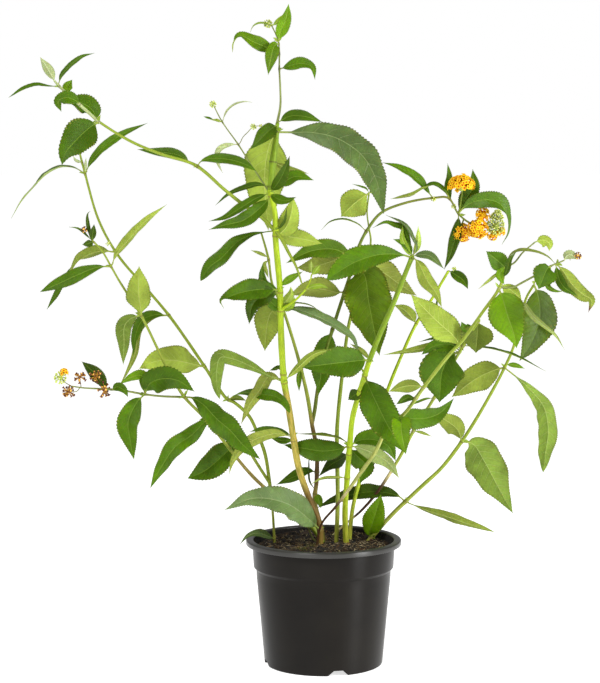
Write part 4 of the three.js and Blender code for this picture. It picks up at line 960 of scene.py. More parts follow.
def stem_finish(name, fresh, mellow, bark):
    """Stem: green to bark with its woodiness, streaked along, with a joining line at nodes."""
    finish = Finish(
        name, 0.5, Specular_IOR_Level=0.25, Subsurface_Weight=0.06, Subsurface_Scale=0.0008)
    turn_x, turn_y, wood = finish.attribute("place")
    swelling, luck, walked = finish.attribute("look")
    far = finish.plus(finish.times(walked, 0.035), finish.times(luck, 50))
    around = finish.vector(turn_x, turn_y, far)
    streak = finish.grain("Noise", 2.2, around, 3)
    thread = finish.grain("Noise", 9, around, 2)
    mottle = finish.grain("Noise", 260)
    green = finish.cover(paint(fresh, 0.72), paint(fresh), streak, 0.35, 0.65)
    green = finish.cover(green, paint(fresh, 1.4), thread, 0.45, 0.75, 0, 0.6)
    tan = finish.cover(paint(mellow, 0.6), paint(mellow), streak, 0.4, 0.6)
    brown = finish.cover(paint(bark, 0.5), paint(bark), thread, 0.35, 0.65)
    # The border between green and bark is as uneven as the streaks
    reach = finish.plus(wood, finish.times(finish.math("SUBTRACT", streak, 0.5), 0.35))
    base = finish.cover(green, tan, reach, 0.05, 0.5)
    base = finish.cover(base, brown, reach, 0.5, 1)
    base = finish.cover(base, paint(mellow, 0.4), swelling, 0.22, 0.34, 0, 0.7)
    base = finish.cover(base, paint(bark, 0.8), mottle, 0.6, 0.75, 0, 0.25)
    finish.bump(finish.plus(thread, mottle), 0.0003, 0.5)
    return finish.colour(base)


def petal_finish(name, tube, lobe, throat):
    """Florets: a tube, lobes round its mouth and a darker throat."""
    finish = Finish(name, 0.55, Specular_IOR_Level=0.2)
    along = finish.attribute("place")[0]
    luck = finish.attribute("look")[1]
    mottle = finish.grain("Noise", 900)
    limb = finish.mix(luck, paint(lobe, 0.75), paint(lobe, 1.15))
    limb = finish.cover(limb, paint(tube), mottle, 0.4, 0.7, 0, 0.35)
    base = finish.cover(paint(tube), limb, along, 0.15, 0.4)
    base = finish.cover(base, paint(throat), along, 0.72, 0.88)
    finish.bump(mottle, 0.0002, 0.5)
    return finish.colour(base)


def peat_finish(name, dark, light, scale):
    """Peat, bark, fibres and moss: rough lumps with dark cells between them."""
    finish = Finish(name, 0.9)
    coarse = finish.grain("Noise", scale, detail=5)
    fine = finish.grain("Voronoi", scale * 6)
    base = finish.cover(paint(dark), paint(light), coarse, 0.4, 0.62)
    base = finish.cover(base, paint(dark, 0.5), fine, 0.3, 0.8, 0, 0.5)
    finish.bump(finish.plus(coarse, fine), 0.0012, 0.8)
    return finish.colour(base)


def plastic_finish(name, dark, light, gloss):
    """Moulded plastic: a faint cloudy sheen and a fine skin."""
    finish = Finish(
        name, 0.36, Specular_IOR_Level=gloss, Anisotropic=0.8, Anisotropic_Rotation=0.25)
    cloud = finish.grain("Noise", 14, detail=3)
    skin = finish.grain("Noise", 1500, detail=2)
    finish.roughen(finish.step(cloud, 0.3, 0.7, 0.32, 0.42))
    finish.bump(skin, 0.0001, 0.3)
    return finish.colour(finish.cover(paint(dark), paint(light), cloud, 0.3, 0.7))


STALK_COLOUR = "93a044"
DRIED_COLOUR = "5a3d1c"

# Shades of leaves: codes of the upper face, its veins, the underside and its veins, and the
# gloss of the upper face
SHADES = {
    "mid": ("436403", "688329", "7b8b31", "9faa59", 0.12),
    "dark": ("344c02", "576e21", "68792c", "8f994f", 0.12),
    "deep": ("486102", "71852d", "74832e", "96a153", 0.1),
    "bright": ("567906", "7b9533", "889938", "adb866", 0.12),
    # grey and ash: grey-green faces, partly the leaf's own grey and partly a painted sheen
    "grey": ("485e25", "788850", "81914f", "a6b077", 0.3),
    "ash": ("617941", "8c9c68", "8c9b5a", "b0ba84", 0.3),
    "sheen": ("466803", "728f2e", "7b8b31", "9faa59", 0.3),
    "gloss": ("435b02", "647c30", "7b8b31", "9faa59", 0.3),
    # light is mid with a lighter underside: painted light, for undersides that catch more light
    "light": ("436403", "688329", "8da03a", "b6c367", 0.12),
    "olive": ("5b6c19", "818c40", "7f8b37", "a5ae60", 0.15),
    "lime": ("819f23", "a0b058", "92a841", "b7c277", 0.15),
    "silver": ("899a4a", "a7b078", "9aa76f", "c0c79b", 0.2),
    # faded: a faded upper face, and an underside darker than mid's, a painted shade for undersides
    # turned from the light
    "faded": ("778535", "969e62", "667c2c", "94a458", 0.15),
}
LEAF_FINISHES = {
    shade: (
        leaf_finish("leaf_" + shade, face, vein, 0.45, gloss, 0.42),
        leaf_finish("underleaf_" + shade, under, under_vein, 0.65, 0.12, 0.6))
    for shade, (face, vein, under, under_vein, gloss) in SHADES.items()
}

# Tones of stems: codes of fresh, mellow and barky stem
TONES = {
    "bright": ("a3bc1c", "baa548", "6e4a20"),
    "green": ("86992a", "96883c", "6c4c20"),
    "dark": ("66781e", "7f6e2c", "70461a"),
    "twig": ("8a9c2c", "cfc288", "4a2e16"),
    "olive": ("7a961c", "76742c", "5c4420"),
    "pale": ("a8b47a", "a39a6c", "6e5c3c"),
    "grey": ("7f8a48", "736b3e", "543f22"),
}
TONE_ORDER = list(TONES)
STEM_FINISHES = [stem_finish("stem_" + tone, *codes) for tone, codes in TONES.items()]
HEAD_FINISHES = (
    petal_finish("floret", "e4780c", "fdc814", "c44006"),
    petal_finish("bud", "a0b44e", "bac95e", "dcd98c"),
    petal_finish("withered", "b8862c", "5a2a26", "f0bc50"))
PEAT_FINISH = peat_finish("peat", "0e0803", "3c2a12", 160)
CHIP_FINISH = peat_finish("chip", "40280f", "94703e", 240)
FIBRE_FINISH = peat_finish("fibre", "6a522c", "d6c49a", 300)
MOSS_FINISH = peat_finish("moss", "4a4f1c", "8a8434", 420)
# The dark stained plastic paints the shadow under the lip and the shade inside the wall, along with a
# peat stain there; the rim plastic is lighter than the pot's, a painted highlight
POT_FINISHES = (
    plastic_finish("pot_plastic", "100d0a", "191612", 0.14),
    peat_finish("stained_and_shaded_plastic", "0a0705", "17100a", 60),
    plastic_finish("lit_rim_plastic", "21201d", "302f2c", 0.5))


# Stems
STEM_CURVES = {
    key: Curve([placed(x, z, flared(z, depth)) for x, z, depth, _ in rows])
    for key, (_, rows) in STEMS.items()
}
GROWTH_PLACES = np.linspace(0, 1, GROWTH_SAMPLES + 1)


def growth_place(key, spot):
    """The curve's own place on a stem nearest to a point of the outline."""
    seen = flattened(STEM_CURVES[key].at(GROWTH_PLACES))
    return GROWTH_PLACES[np.argmin(np.linalg.norm(seen - np.array(spot), axis=1))]


def leaf_curve(stem, start, rib):
    root = STEM_CURVES[stem].at(growth_place(stem, start))
    return Curve([root] + [placed(x, z, root[1] - forward) for x, z, forward in rib])


def node_swelling(curve, walked, nodes):
    """How much a stem swells along its length, near its nodes."""
    swelling = np.zeros(len(walked))
    last = -NODE_GAP
    for node in sorted(np.interp(nodes, curve.places, curve.walked)):
        if node - last >= NODE_GAP:
            swelling += sum(
                share * np.exp(-(((walked - node) / reach) ** 2)) for share, reach in NODE_BULGES)
            last = node
    return swelling


def stem_tube(piece, key, nodes, finish, luck):
    """One stem: angled in section, swollen where leaves grow, woody towards its foot."""
    curve = STEM_CURVES[key]
    rings = max(6, int(curve.length / STEM_STEP))
    shares = np.linspace(0, 1, rings)
    places = curve.place_of(shares)
    heading = curve.heading(places)
    back = np.array((0.0, 1.0, 0.0))
    normal = unit(back - heading * (heading @ back)[:, None])
    side = np.cross(heading, normal)
    walked = shares * curve.length
    swelling = node_swelling(curve, walked, nodes)
    stated = [radius for _, _, _, radius in STEMS[key][1]]
    radii = np.interp(places, np.linspace(0, 1, len(stated)), stated)
    radii = radii * (
        1 + np.minimum(swelling, NODE_MOST) * NODE_SWELL / (NODE_SWELL + radii - 1))
    radii = radii * (1 + STEM_WAVER * np.sin(walked / STEM_WAVER_PITCH + luck.uniform(0, 6)))
    radii[-1] *= 0.5
    angles = circle_angles(STEM_SIDES)
    ridged = radii[:, None] * (1 + STEM_RIDGE * np.cos(STEM_RIDGES * angles))
    centre = curve.at(places)
    heights, woods = zip(*WOOD.get(key, WOOD["usual"]))
    wood = np.interp(centre[:, 2], heights, woods)
    place = np.column_stack((
        np.tile(np.cos(angles), rings), np.tile(np.sin(angles), rings),
        np.repeat(wood, STEM_SIDES)))
    look = np.column_stack((
        np.repeat(swelling, STEM_SIDES), np.full(rings * STEM_SIDES, luck.random()),
        np.repeat(walked, STEM_SIDES)))
    faces = [face[::-1] for face in tube_faces(rings, STEM_SIDES)]
    piece.add(tube_points(centre, side, normal, ridged, angles), faces, finish, place, look)


def thin_tube(piece, curve, radii, sides, finish, look=(0, 0, 0)):
    """A twig or fibre, from its radius at the foot to its radius at the tip."""
    rings = max(4, int(curve.length / TWIG_STEP))
    shares = np.linspace(0, 1, rings)
    places = curve.place_of(shares)
    heading = curve.heading(places)
    slanting = np.array((0.31, 0.22, 0.93))
    side = unit(np.cross(heading, slanting))
    normal = np.cross(heading, side)
    size = np.interp(shares, (0, 1), radii)[:, None]
    angles = circle_angles(sides)
    place = np.column_stack((
        np.tile(np.cos(angles), rings), np.tile(np.sin(angles), rings),
        np.full(rings * sides, TWIG_WOOD)))
    points = tube_points(curve.at(places), side, normal, size, angles)
    piece.add(points, tube_faces(rings, sides), finish, place, look)


# Leaves
def half_widths(shares, width, widest, stalk):
    """Half of a leaf's width at shares of its length: a thin stalk, then the blade."""
    along = np.clip((shares - PETIOLE_SHARE) / (1 - PETIOLE_SHARE), 0, 1)
    rise = LEAF_OUTLINE_POWER * widest
    fall = LEAF_OUTLINE_POWER * (1 - widest)
    peak = widest ** rise * (1 - widest) ** fall
    half = width / 2 * along ** rise * (1 - along) ** fall / peak
    return np.maximum(half, stalk + (LEAF_TIP_HALF - stalk) * along)


def tooth_shares(curve, width):
    """Shares of the length at the stalk's rings and at each tooth's notch and point, and
    which of them are points."""
    pitch = TOOTH_PITCH * min(1.15, max(0.55, width / TOOTH_FULL_WIDTH))
    teeth = max(6, int(curve.length * (1 - PETIOLE_SHARE) / pitch))
    notches = np.arange(teeth) / teeth
    on_blade = np.sort(np.concatenate((notches, notches + TOOTH_POINT / teeth, [1])))
    shares = np.concatenate((
        np.linspace(0, PETIOLE_SHARE, PETIOLE_RINGS, endpoint=False),
        PETIOLE_SHARE + on_blade * (1 - PETIOLE_SHARE)))
    is_point = np.zeros(len(shares))
    is_point[PETIOLE_RINGS + 1::2] = 1
    return shares, is_point


def blade(piece, curve, width, turns, widest, finishes, luck, tip=0):
    """A leaf along its rib: two faces with a raised rib below, quilted between the veins,
    waved at its margins and toothed. finishes are those of its upper face and underside."""
    stalk = PETIOLE_HALF_WIDTH * min(1.4, 0.4 + width / FULL_WIDTH)
    shares, is_point = tooth_shares(curve, width)
    across = np.array([-share for share in reversed(ACROSS[1:])] + list(ACROSS))
    if width < SMALL_WIDTH:
        across = across[::2]

    # Where the blade faces
    places = curve.place_of(shares)
    centre = curve.at(places)
    heading = curve.heading(places)
    to_eye = EYE - centre
    facing = unit(to_eye - heading * np.sum(to_eye * heading, axis=1)[:, None])
    turns = np.atleast_1d(turns)
    angle = np.radians(np.interp(shares, np.linspace(0, 1, len(turns)), turns))[:, None]
    normal = facing * np.cos(angle) + np.cross(heading, facing) * np.sin(angle)
    side = np.cross(heading, normal)

    # Its cupped and quilted surface
    half = half_widths(shares, width, widest, stalk)
    full = half / half.max()
    walked = shares * curve.length
    distance = np.abs(across) * half[:, None]
    vein_pitch = max(curve.length / VEIN_PAIRS, VEIN_LEAST_PITCH)
    slant = VEIN_SLANT * distance
    vein = (walked[:, None] - slant - VEIN_BEND * distance ** 2 / half.max()) / vein_pitch
    on_blade = smooth((shares - PETIOLE_SHARE) / RELIEF_SHARE)[:, None]
    u2 = across ** 2
    height = half[:, None] * (CUP_HEIGHT * np.abs(across) - CUP_ROUNDING * u2)
    quilt = QUILT_HEIGHT * full[:, None] * np.sqrt(np.abs(across)) * (1 - QUILT_FADE * u2)
    height = height + quilt * np.sin(math.pi * vein) ** 2 * on_blade

    # Its margins: each has its own ripples, waves and bulges, and both have teeth
    uneven = 0
    for edge in (-1, 1):
        ripple = np.sin(walked / luck.uniform(2.4, 3.6) + luck.uniform(0, 6))
        wave = np.sin(walked / luck.uniform(6, 9) + luck.uniform(0, 6))
        bulge = np.sin(walked / luck.uniform(3.5, 7) + luck.uniform(0, 6))
        half_side = np.where(across * edge > 0, u2, 0) * on_blade
        lift = half * (MARGIN_RIPPLE * ripple + MARGIN_WAVE * wave)
        height = height + half_side * (lift * full)[:, None]
        uneven = uneven + half_side * (MARGIN_BULGE * bulge * half)[:, None]
    tooth = TOOTH_HEIGHT * min(1, 0.3 + width / FULL_WIDTH) * np.sqrt(full)
    tooth = tooth * (is_point - TOOTH_SUNK)
    reach = half[:, None] * np.abs(across) + uneven
    reach = reach + np.where(u2 == 1, tooth[:, None] * on_blade, 0)
    aside = np.sign(across) * reach * math.cos(LEAF_FOLD)
    sheet = (
        centre[:, None] + side[:, None] * aside[..., None] + normal[:, None] * height[..., None])

    # Its two faces, with the rib standing out below
    thin = smooth(shares / THINNING_SHARE)
    thick = (stalk * (1 - thin) + BLADE_HALF_THICKNESS * thin)[:, None] * (1 - u2) ** 0.4
    rib = np.exp(-((distance / RIB_HALF_WIDTH) ** 2)) * on_blade
    rib_height = min(1, 0.25 + width / FULL_WIDTH) * RIB_HEIGHT * (1 - shares[:, None]) ** 0.7
    upper = sheet + normal[:, None] * (thick - RIB_SUNK * rib_height * rib)[..., None]
    lower = sheet - normal[:, None] * (thick + rib_height * rib)[..., None]
    count, row = len(shares), len(across)
    ring = np.concatenate((upper, lower[:, -2:0:-1]), axis=1)
    sides = ring.shape[1]
    order = np.concatenate((np.arange(row), np.arange(row - 2, 0, -1)))
    place = np.stack((
        np.broadcast_to(np.abs(across), (count, row)),
        np.broadcast_to(shares[:, None], (count, row)), vein), axis=-1)[:, order]
    look = np.stack((
        distance, np.full((count, row), luck.random()), np.full((count, row), tip)),
        axis=-1)[:, order]
    finish = np.tile(np.where(np.arange(sides) < row - 1, finishes[0], finishes[1]), count - 1)
    finish = np.concatenate((finish, [finishes[1], finishes[0]]))
    piece.add(
        ring.reshape(-1, 3), tube_faces(count, sides), finish,
        place.reshape(-1, 3), look.reshape(-1, 3))


def leaf(piece, row, finishes, luck, tip=0):
    """A leaf from its row of the tables."""
    stem, start, width, turns, _, rib, *widest = row
    blade(piece, leaf_curve(stem, start, rib), width, turns, *(widest or [LEAF_WIDEST]),
          finishes, luck, tip)


def axil_shoot(piece, stem, start, finishes, luck):
    """Two or three tiny leaves in the angle between a leaf and its stem."""
    curve = STEM_CURVES[stem]
    place = growth_place(stem, start)
    root = curve.at(place)
    up = curve.heading(place)
    for _ in range(luck.randint(2, 3)):
        aside = unit(random_way(luck))
        aside = unit(aside - up * (up @ aside))
        length = luck.uniform(4, 8.5)
        bow = unit(up * luck.uniform(0.6, 1.2) + aside)
        middle = root + bow * length * 0.6
        end = middle + unit(bow * 0.5 + aside * 0.6) * length * 0.5
        blade(piece, Curve([root, middle, end]), length * 0.32, 0, 0.45, finishes, luck)


# Heads
def even_directions(count, lowest, luck):
    """Directions spread evenly over a ball, from its top down to a height."""
    golden = math.pi * (3 - math.sqrt(5))
    for index in range(count):
        height = 1 - (1 - lowest) * (index + 0.5) / count
        height = min(1, max(-1, height + luck.uniform(-0.03, 0.03)))
        ring = math.sqrt(1 - height * height)
        turn = golden * index + luck.uniform(-0.12, 0.12)
        yield np.array((ring * math.cos(turn), ring * math.sin(turn), height))


def floret(piece, centre, way, radius, finish, luck):
    """One open floret: a stalk, a tube and four rounded lobes round its throat."""
    reach = radius * luck.uniform(0.82, 1.03)
    limb = luck.uniform(2.4, 3.3)
    way = unit(way + random_way(luck, 0.13))
    tube = reach * 0.9
    outline = [
        (0.3, reach * 0.3), (0.34, reach * 0.52), (0.6, reach * 0.6), (0.55, tube - 0.5),
        (limb * 0.55, tube + 0.1, "lobed"), (limb, tube + 0.45, "lobed"),
        (limb * 0.92, tube + 0.7, "lobed"), (limb * 0.5, tube + 0.5, "lobed"),
        (0.5, tube + 0.2), (0.3, tube - 0.7)]
    tone = luck.random()
    turned_body(piece, centre, way, outline, 12, finish, luck.uniform(0, 6), 0.42, tone)


def bud(piece, centre, way, radius, finish, luck):
    """A closed bud on a short stalk."""
    size = luck.uniform(0.8, 1.3) * min(1, 0.6 + radius / 20)
    reach = radius * luck.uniform(0.86, 1) - size
    outline = [
        (0.25, reach * 0.25), (0.28, reach - size), (size * 0.75, reach - size * 0.5),
        (size, reach + size * 0.2), (size * 0.7, reach + size), (size * 0.2, reach + size * 1.4)]
    turned_body(piece, centre, way, outline, 7, finish, luck=luck.random())


def withered_floret(piece, centre, way, radius, finish, luck):
    """A dried floret: a shrunken tube with its lobes curled back."""
    reach = radius * luck.uniform(0.75, 1.05)
    way = unit(way + random_way(luck, 0.22))
    limb = luck.uniform(1.3, 2.1)
    outline = [
        (0.25, reach * 0.1), (0.5, reach * 0.45), (0.8, reach * 0.65), (0.7, reach * 0.82),
        (limb, reach * 0.88, "lobed"), (limb * 0.8, reach * 0.98, "lobed"),
        (0.8, reach * 0.97), (0.3, reach * 0.94)]
    tone = luck.random()
    turned_body(piece, centre, way, outline, 10, finish, luck.uniform(0, 6), 0.5, tone)


HEAD_MAKERS = {"open": floret, "bud": bud, "withered": withered_floret}
HEAD_ORDER = list(HEAD_MAKERS)


def head(name, slot, balls, luck, replaced=()):
    """A flower head: for each of its balls, a core and florets all over it."""
    piece = Piece()
    for kind, (x, z, depth), radius, count, lowest in balls:
        centre = placed(x, z, flared(z, depth))
        finish = HEAD_ORDER.index(kind)
        domed = lowest > DOMED_ABOVE
        size = radius * CORE_SHARES["withered" if domed else kind]
        rows = [math.pi * (row + 0.5) / CORE_ROWS for row in range(CORE_ROWS)]
        core = [(size * math.sin(row), -size * math.cos(row)) for row in rows]
        core_finish = HEAD_ORDER.index("bud") if domed else finish
        turned_body(piece, centre, UP, core, CORE_SIDES, core_finish, luck=CORE_LUCK)
        for way in even_directions(count, lowest, luck):
            HEAD_MAKERS[kind](piece, centre, way, radius, finish, luck)
    return piece.make(name, HEAD_FINISHES, slot, replaced)


# Pot
def bend(centre, radius, start, end, steps=4):
    """Points of a rounded corner, from one angle in degrees to another."""
    for index in range(steps + 1):
        angle = math.radians(start + (end - start) * index / steps)
        yield (centre[0] + radius * math.cos(angle), centre[1] + radius * math.sin(angle))


def pot_outline():
    """Rows of (radius, height, which finish leads up to that point), from the hub's underside out, up
    and back down inside. A band under the lip takes the dark finish as a painted shadow, the inside
    wall takes it as peat stain and painted shade, and the rim's lighter finish is a painted highlight."""
    lip_edge = POT_HEIGHT - LIP_DROP
    floor_top = FLOOR_LIFT + WALL
    ring_inside = FOOT_RADIUS - FOOT_CORNER - WALL
    plain = [
        (HUB_CENTRE, 0), (HUB_RADIUS, 0), (HUB_RADIUS + HUB_SLOPE, FLOOR_LIFT),
        (ring_inside - 1, FLOOR_LIFT), (ring_inside, 0),
        *bend((FOOT_RADIUS - FOOT_CORNER, FOOT_CORNER), FOOT_CORNER, -90, 0),
        (BODY_RADIUS - 0.3, SHOULDER_BOTTOM - 8), (BODY_RADIUS, SHOULDER_BOTTOM - 0.5),
        *bend((BODY_RADIUS + 0.6, SHOULDER_BOTTOM - 0.5), 0.6, 180, 120, 2),
        *bend((COLLAR_FOOT_RADIUS - 0.9, SHOULDER_TOP - 0.2), 0.9, -50, 0, 3),
        (COLLAR_RADIUS - 0.15, lip_edge - UNDER_LIP_SHADOW_HEIGHT)]
    # The collar's top and the lip's underside, in the dark finish: a painted shadow under the lip
    under_lip_shadow = [
        (COLLAR_RADIUS - 0.1, lip_edge - 0.4),
        *bend((COLLAR_RADIUS + 0.7, lip_edge - 0.4), 0.8, 180, 90, 3),
        (LIP_RADIUS - 1, lip_edge - 0.2)]
    # The rim, in a finish lighter than the pot's: a painted highlight
    rim = [
        *bend((LIP_RADIUS - 0.6, lip_edge + 0.5), 0.6, -80, 0, 3),
        *bend((LIP_RADIUS - LIP_ROUND, POT_HEIGHT - LIP_ROUND), LIP_ROUND, 0, 90, 5),
        *bend((COLLAR_RADIUS + 0.3, POT_HEIGHT - LIP_ROUND), LIP_ROUND, 90, 170, 5)]
    # The inside wall, in the dark finish: peat stain and painted shade
    inside = [
        (COLLAR_FOOT_RADIUS - WALL, SHOULDER_TOP), (BODY_RADIUS - WALL, SHOULDER_BOTTOM),
        (FOOT_RADIUS - WALL, floor_top), (HUB_RADIUS + HUB_SLOPE, floor_top),
        (HUB_RADIUS, WALL), (HUB_CENTRE, WALL)]
    parts = ((0, plain), (1, under_lip_shadow), (2, rim), (1, inside))
    return [(*point, kind) for kind, points in parts for point in points]


def foot_directions(count):
    """Directions out from the axis and across them, for what repeats round the foot."""
    for index in range(count):
        angle = math.radians(NOTCH_TURN - 90 + index * 360 / count)
        yield (np.array((math.cos(angle), math.sin(angle), 0)),
               np.array((-math.sin(angle), math.cos(angle), 0)))


def notch_cutter():
    """The notches round the foot, as one mesh of tapered blocks."""
    piece = Piece()
    wide, narrow, high = NOTCH_WIDE / 2, NOTCH_NARROW / 2, NOTCH_HEIGHT
    section = (
        (-wide, -1), (wide, -1), (narrow + 1, high - 1), (narrow, high),
        (-narrow, high), (-narrow - 1, high - 1))
    for out, aside in foot_directions(NOTCH_COUNT):
        rows = [
            out * reach + aside * half + np.array(UP) * height
            for reach in (FOOT_RADIUS - NOTCH_DEPTH / 2, FOOT_RADIUS + NOTCH_DEPTH / 2)
            for half, height in section]
        piece.add(np.array(rows), tube_faces(2, len(section)), 0)
    return piece


def drain_cutter():
    piece = Piece()
    outline = [(DRAIN_RADIUS, FLOOR_LIFT - 2), (DRAIN_RADIUS, FLOOR_LIFT + WALL + 2)]
    for out, _ in foot_directions(DRAIN_COUNT):
        turned_body(piece, out * DRAIN_CIRCLE, UP, outline, DRAIN_SIDES)
    return piece


def cut(body, cutter):
    """Takes a cutter's solids out of a body for good."""
    tool = link("cutter", mesh_of("cutter", cutter.points, cutter.faces))
    modifier = body.modifiers.new("cut", "BOOLEAN")
    modifier.operation = "DIFFERENCE"
    modifier.solver = "EXACT"
    modifier.object = tool
    graph = bpy.context.evaluated_depsgraph_get()
    shape = bpy.data.meshes.new_from_object(body.evaluated_get(graph))
    body.modifiers.clear()
    body.data = shape
    bpy.data.objects.remove(tool)


def make_pot():
    outline = pot_outline()
    angles = circle_angles(POT_SIDES)
    rings = [flat_ring(radius, height, angles) for radius, height, _ in outline]
    mesh = mesh_of("nursery_pot", rings, tube_faces(len(rings), POT_SIDES), POT_FINISHES)
    kinds = [kind for _, _, kind in outline]
    mesh.polygons.foreach_set(
        "material_index", [*np.repeat(kinds[1:], POT_SIDES), kinds[0], kinds[-1]])
    pot = link("nursery_pot", mesh)
    cut(pot, notch_cutter())
    cut(pot, drain_cutter())
    smoothed(pot.data, POT_CREASE)
    settle(pot, "pot_plastic", ["pot"])


# Soil
def soil_height(x, y):
    """Height of the peat's smooth surface."""
    level = np.interp(
        np.hypot(x, y), (0, SOIL_SHOULDER_RADIUS, SOIL_RADIUS),
        (SOIL_CROWN, SOIL_SHOULDER, SOIL_EDGE))
    return level + SOIL_BACK_RISE * smooth((y - SOIL_BACK_START) / SOIL_BACK_REACH)


def on_soil(x, y, lift=0):
    return np.array((x, y, float(soil_height(x, y)) + lift))


def crumbs(x, y):
    """Uneven heights of the peat: sums of waves that never repeat together."""
    total = np.zeros_like(x)
    for index, (pitch, size) in enumerate(SOIL_WAVES):
        turn = index * 2.4
        u = (x * math.cos(turn) + y * math.sin(turn)) / pitch
        v = (y * math.cos(turn) - x * math.sin(turn)) / pitch
        total += size * np.sin(u + 1.7 * np.sin(v * 0.8 + index)) * np.cos(v + index)
    return total


def make_soil():
    """The peat: it lies on the pot's floor, fills it up and has an uneven top."""
    piece = Piece()
    angles = circle_angles(SOIL_SIDES)
    low = [
        (HUB_RADIUS - 1, WALL + SOIL_GAP),
        (HUB_RADIUS + HUB_SLOPE, FLOOR_LIFT + WALL + SOIL_GAP),
        (FOOT_RADIUS - WALL - SOIL_GAP, FLOOR_LIFT + WALL + SOIL_GAP),
        (BODY_RADIUS - WALL - SOIL_GAP, SHOULDER_BOTTOM)]
    rings = [flat_ring(radius, height, angles) for radius, height in low]
    for index in range(SOIL_RINGS):
        radius = SOIL_RADIUS * (1 - index / SOIL_RINGS)
        ring = flat_ring(radius, 0, angles)
        x, y = ring[:, 0], ring[:, 1]
        fade = min(1, (SOIL_RADIUS - radius) / SOIL_EDGE_FADE)
        ring[:, 2] = soil_height(x, y) + fade * crumbs(x, y)
        rings.append(ring)
    piece.add(np.vstack(rings), tube_faces(len(rings), SOIL_SIDES), 0)
    piece.make("peat_soil", [PEAT_FINISH], "peat", ["soil"], crease=180)


def soil_spot(luck, reach=0.96):
    radius = SOIL_RADIUS * reach * math.sqrt(luck.random())
    angle = luck.uniform(0, 2 * math.pi)
    return on_soil(radius * math.cos(angle), radius * math.sin(angle))


def strew_chips(luck):
    """Lumps of peat and bits of bark lying on the soil."""
    piece = Piece()
    for index in range(CHIP_COUNT):
        spot = soil_spot(luck)
        size = luck.uniform(0.6, 1.7) if index % BIG_CHIP_EVERY else luck.uniform(2, 3.6)
        bark = index % BARK_EVERY == 0
        way = random_way(luck)
        flat = luck.uniform(0.35, 0.6) if bark else luck.uniform(0.6, 0.9)
        outline = [(size * 0.35, -size * flat), (size * 0.9, -size * flat * 0.4),
                   (size, size * flat * 0.3), (size * 0.4, size * flat)]
        turned_body(piece, spot, way, outline, 5, 1 if bark else 0, luck.uniform(0, 6))
    for _ in range(BARK_COUNT):
        x, y = (middle + luck.gauss(0, BARK_SPREAD) for middle in BARK_SPOT)
        inward = min(1, (SOIL_RADIUS - BARK_MARGIN) / math.hypot(x, y))
        spot = on_soil(x * inward, y * inward, luck.uniform(0, 2))
        size = luck.uniform(1.5, 3.4)
        way = random_way(luck)
        outline = [(size * 0.5, -size * 0.4), (size, 0), (size * 0.5, size * 0.5)]
        turned_body(piece, spot, way, outline, 6, 1, luck.uniform(0, 6))
    piece.make("soil_chips", [PEAT_FINISH, CHIP_FINISH], "peat", crease=CHIP_CREASE)


def strew_fibres(luck):
    """Fibres on the peat, and moss round the crown."""
    piece = Piece()
    rim = SOIL_RADIUS - FIBRE_MARGIN
    for _ in range(FIBRE_COUNT):
        spot = soil_spot(luck, 0.93)
        turn = luck.uniform(0, 2 * math.pi)
        length = luck.uniform(2, 11)
        way = np.array((math.cos(turn), math.sin(turn), 0))
        aside = np.array((-math.sin(turn), math.cos(turn), 0))
        middle = spot + way * length / 2 + aside * luck.gauss(0, length / 8)
        points = [spot, middle, spot + way * length]
        for point, lift in zip(points, (0.2, luck.uniform(0.8, 2.4), 0.3)):
            if np.hypot(point[0], point[1]) > rim:
                point[:2] *= rim / np.hypot(point[0], point[1])
            point[:] = on_soil(point[0], point[1], lift)
        size = luck.uniform(0.18, 0.42)
        thin_tube(piece, Curve(points), (size, size * 0.5), 4, 0)
    for x, y, spread, count in MOSS_SPOTS:
        for _ in range(count):
            foot = on_soil(x + luck.gauss(0, spread), y + luck.gauss(0, spread), -0.3)
            lean = np.array((luck.gauss(0, 1), luck.gauss(0, 1), luck.uniform(0.6, 1.6)))
            tip = foot + lean * luck.uniform(1, 2.4)
            bowed = (foot + tip) / 2 + lean[::-1] * 0.15
            thin_tube(piece, Curve([foot, bowed, tip]), (0.3, 0.12), 4, 1)
    piece.make("soil_fibres", [FIBRE_FINISH, MOSS_FINISH], "peat", crease=180)


# Plant
def make_stems(luck):
    """Each cane with its side shoots and twigs, swollen where its leaves grow."""
    nodes = {key: [] for key in STEMS}
    small = [row for rows in SMALL_LEAVES.values() for row in rows]
    for stem, start, *_ in [*LEAVES.values(), *small]:
        nodes[stem].append(growth_place(stem, start))
    for cane in sorted({cane for cane, _ in STEMS.values()}):
        piece = Piece()
        for key, (owner, _) in STEMS.items():
            if owner == cane:
                tone = TONE_ORDER.index(STEM_TONES.get(key, "green"))
                stem_tube(piece, key, nodes[key], tone, luck)
        for owner, stem, start, radius, rib in TWIGS.values():
            if owner == cane:
                thin_tube(piece, leaf_curve(stem, start, rib), (radius, radius * TWIG_TAPER),
                          TWIG_SIDES, TONE_ORDER.index("grey"), (0, luck.random(), 5))
        slot = "woody_stem" if cane == "cane_tall" else "green_stem"
        piece.make(cane.replace("cane", "stems"), STEM_FINISHES, slot, [cane], STEM_CREASE)


def make_leaves(luck):
    for name, row in LEAVES.items():
        piece = Piece()
        leaf(piece, row, (0, 1), luck, 1 if name in BROWN_TIPS else 0)
        _, _, _, turns, shade, *_ = row
        slot = "leaf_under" if abs(np.atleast_1d(turns)[0]) > 90 else "leaf_upper"
        piece.make(name.replace("leaf", "blade"), LEAF_FINISHES[shade], slot, [name])


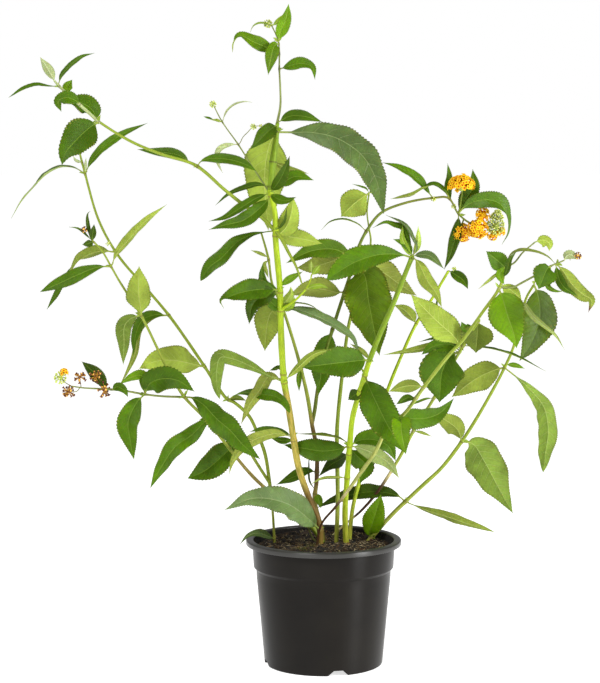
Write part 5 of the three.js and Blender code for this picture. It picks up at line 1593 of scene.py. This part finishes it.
def make_small_leaves(luck):
    finishes = [finish for pair in LEAF_FINISHES.values() for finish in pair]
    pairs = {shade: (2 * index, 2 * index + 1) for index, shade in enumerate(SHADES)}
    places = sorted({(stem, start) for stem, start, *_ in LEAVES.values()})
    for group, rows in SMALL_LEAVES.items():
        piece = Piece()
        for row in rows:
            leaf(piece, row, pairs[row[4]], luck)
        stems = {row[0] for row in rows}
        for stem, start in places:
            if stem in stems:
                axil_shoot(piece, stem, start, pairs["lime"], luck)
        piece.make("small_leaves_" + group, finishes, "leaf_upper")


def make_heads(luck):
    for name, (slot, balls) in HEADS.items():
        head(name.replace("head", "cluster"), slot, balls, luck, [name])
    for name, (slot, balls) in LOOSE_HEADS.items():
        head(name, slot, balls, luck)


# Scene
def make_floor():
    corners = [
        (-FLOOR_HALF, -FLOOR_HALF, 0), (FLOOR_HALF, -FLOOR_HALF, 0),
        (FLOOR_HALF, FLOOR_HALF, 0), (-FLOOR_HALF, FLOOR_HALF, 0)]
    finish = Finish("floor", 0.8, Emission_Color=(1, 1, 1, 1), Emission_Strength=FLOOR_GLOW)
    cloud = finish.grain("Noise", 3)
    pale = finish.colour(finish.mix(cloud, (0.93, 0.93, 0.93), (0.96, 0.96, 0.96)))
    link("floor", mesh_of("floor", corners, [(0, 1, 2, 3)], [pale]))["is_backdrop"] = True


def make_lights():
    """A white backdrop, dimmer as a light than it looks, and two soft lights."""
    world = bpy.data.worlds.new("studio")
    world.use_nodes = True
    background = world.node_tree.nodes["Background"]
    background.inputs["Color"].default_value = (1, 1, 1, 1)
    path = world.node_tree.nodes.new("ShaderNodeLightPath")
    level = world.node_tree.nodes.new("ShaderNodeMapRange")
    level.inputs["To Min"].default_value = WORLD_STRENGTH
    world.node_tree.links.new(path.outputs["Is Camera Ray"], level.inputs["Value"])
    world.node_tree.links.new(level.outputs[0], background.inputs["Strength"])
    bpy.context.scene.world = world
    for name, place, size, power in LIGHTS:
        light = bpy.data.lights.new(name, "AREA")
        light.shape = "RECTANGLE"
        light.size, light.size_y = size
        light.energy = power
        lamp = link(name, light)
        lamp.location = place
        way = Vector(LIGHT_TARGET) - lamp.location
        lamp.rotation_euler = way.to_track_quat("-Z", "Y").to_euler()


def make_camera():
    camera = bpy.data.cameras.new("camera")
    camera.lens = CAMERA_LENS
    camera.sensor_width = CAMERA_SENSOR
    stand = link("camera", camera)
    stand.location = EYE * MM
    stand.rotation_euler = (math.radians(90 - CAMERA_DOWN), 0, 0)
    bpy.context.scene.camera = stand
    bpy.context.scene.view_settings.view_transform = "Standard"


make_pot()
make_soil()
for number, make in enumerate(
        (strew_chips, strew_fibres, make_stems, make_leaves, make_small_leaves, make_heads)):
    make(random.Random(SEED + number))
make_floor()
make_lights()
make_camera()

boxes = {"cad": CAD_BOX, "visual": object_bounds()}
{name: [list(corner) for corner in box] for name, box in boxes.items()}
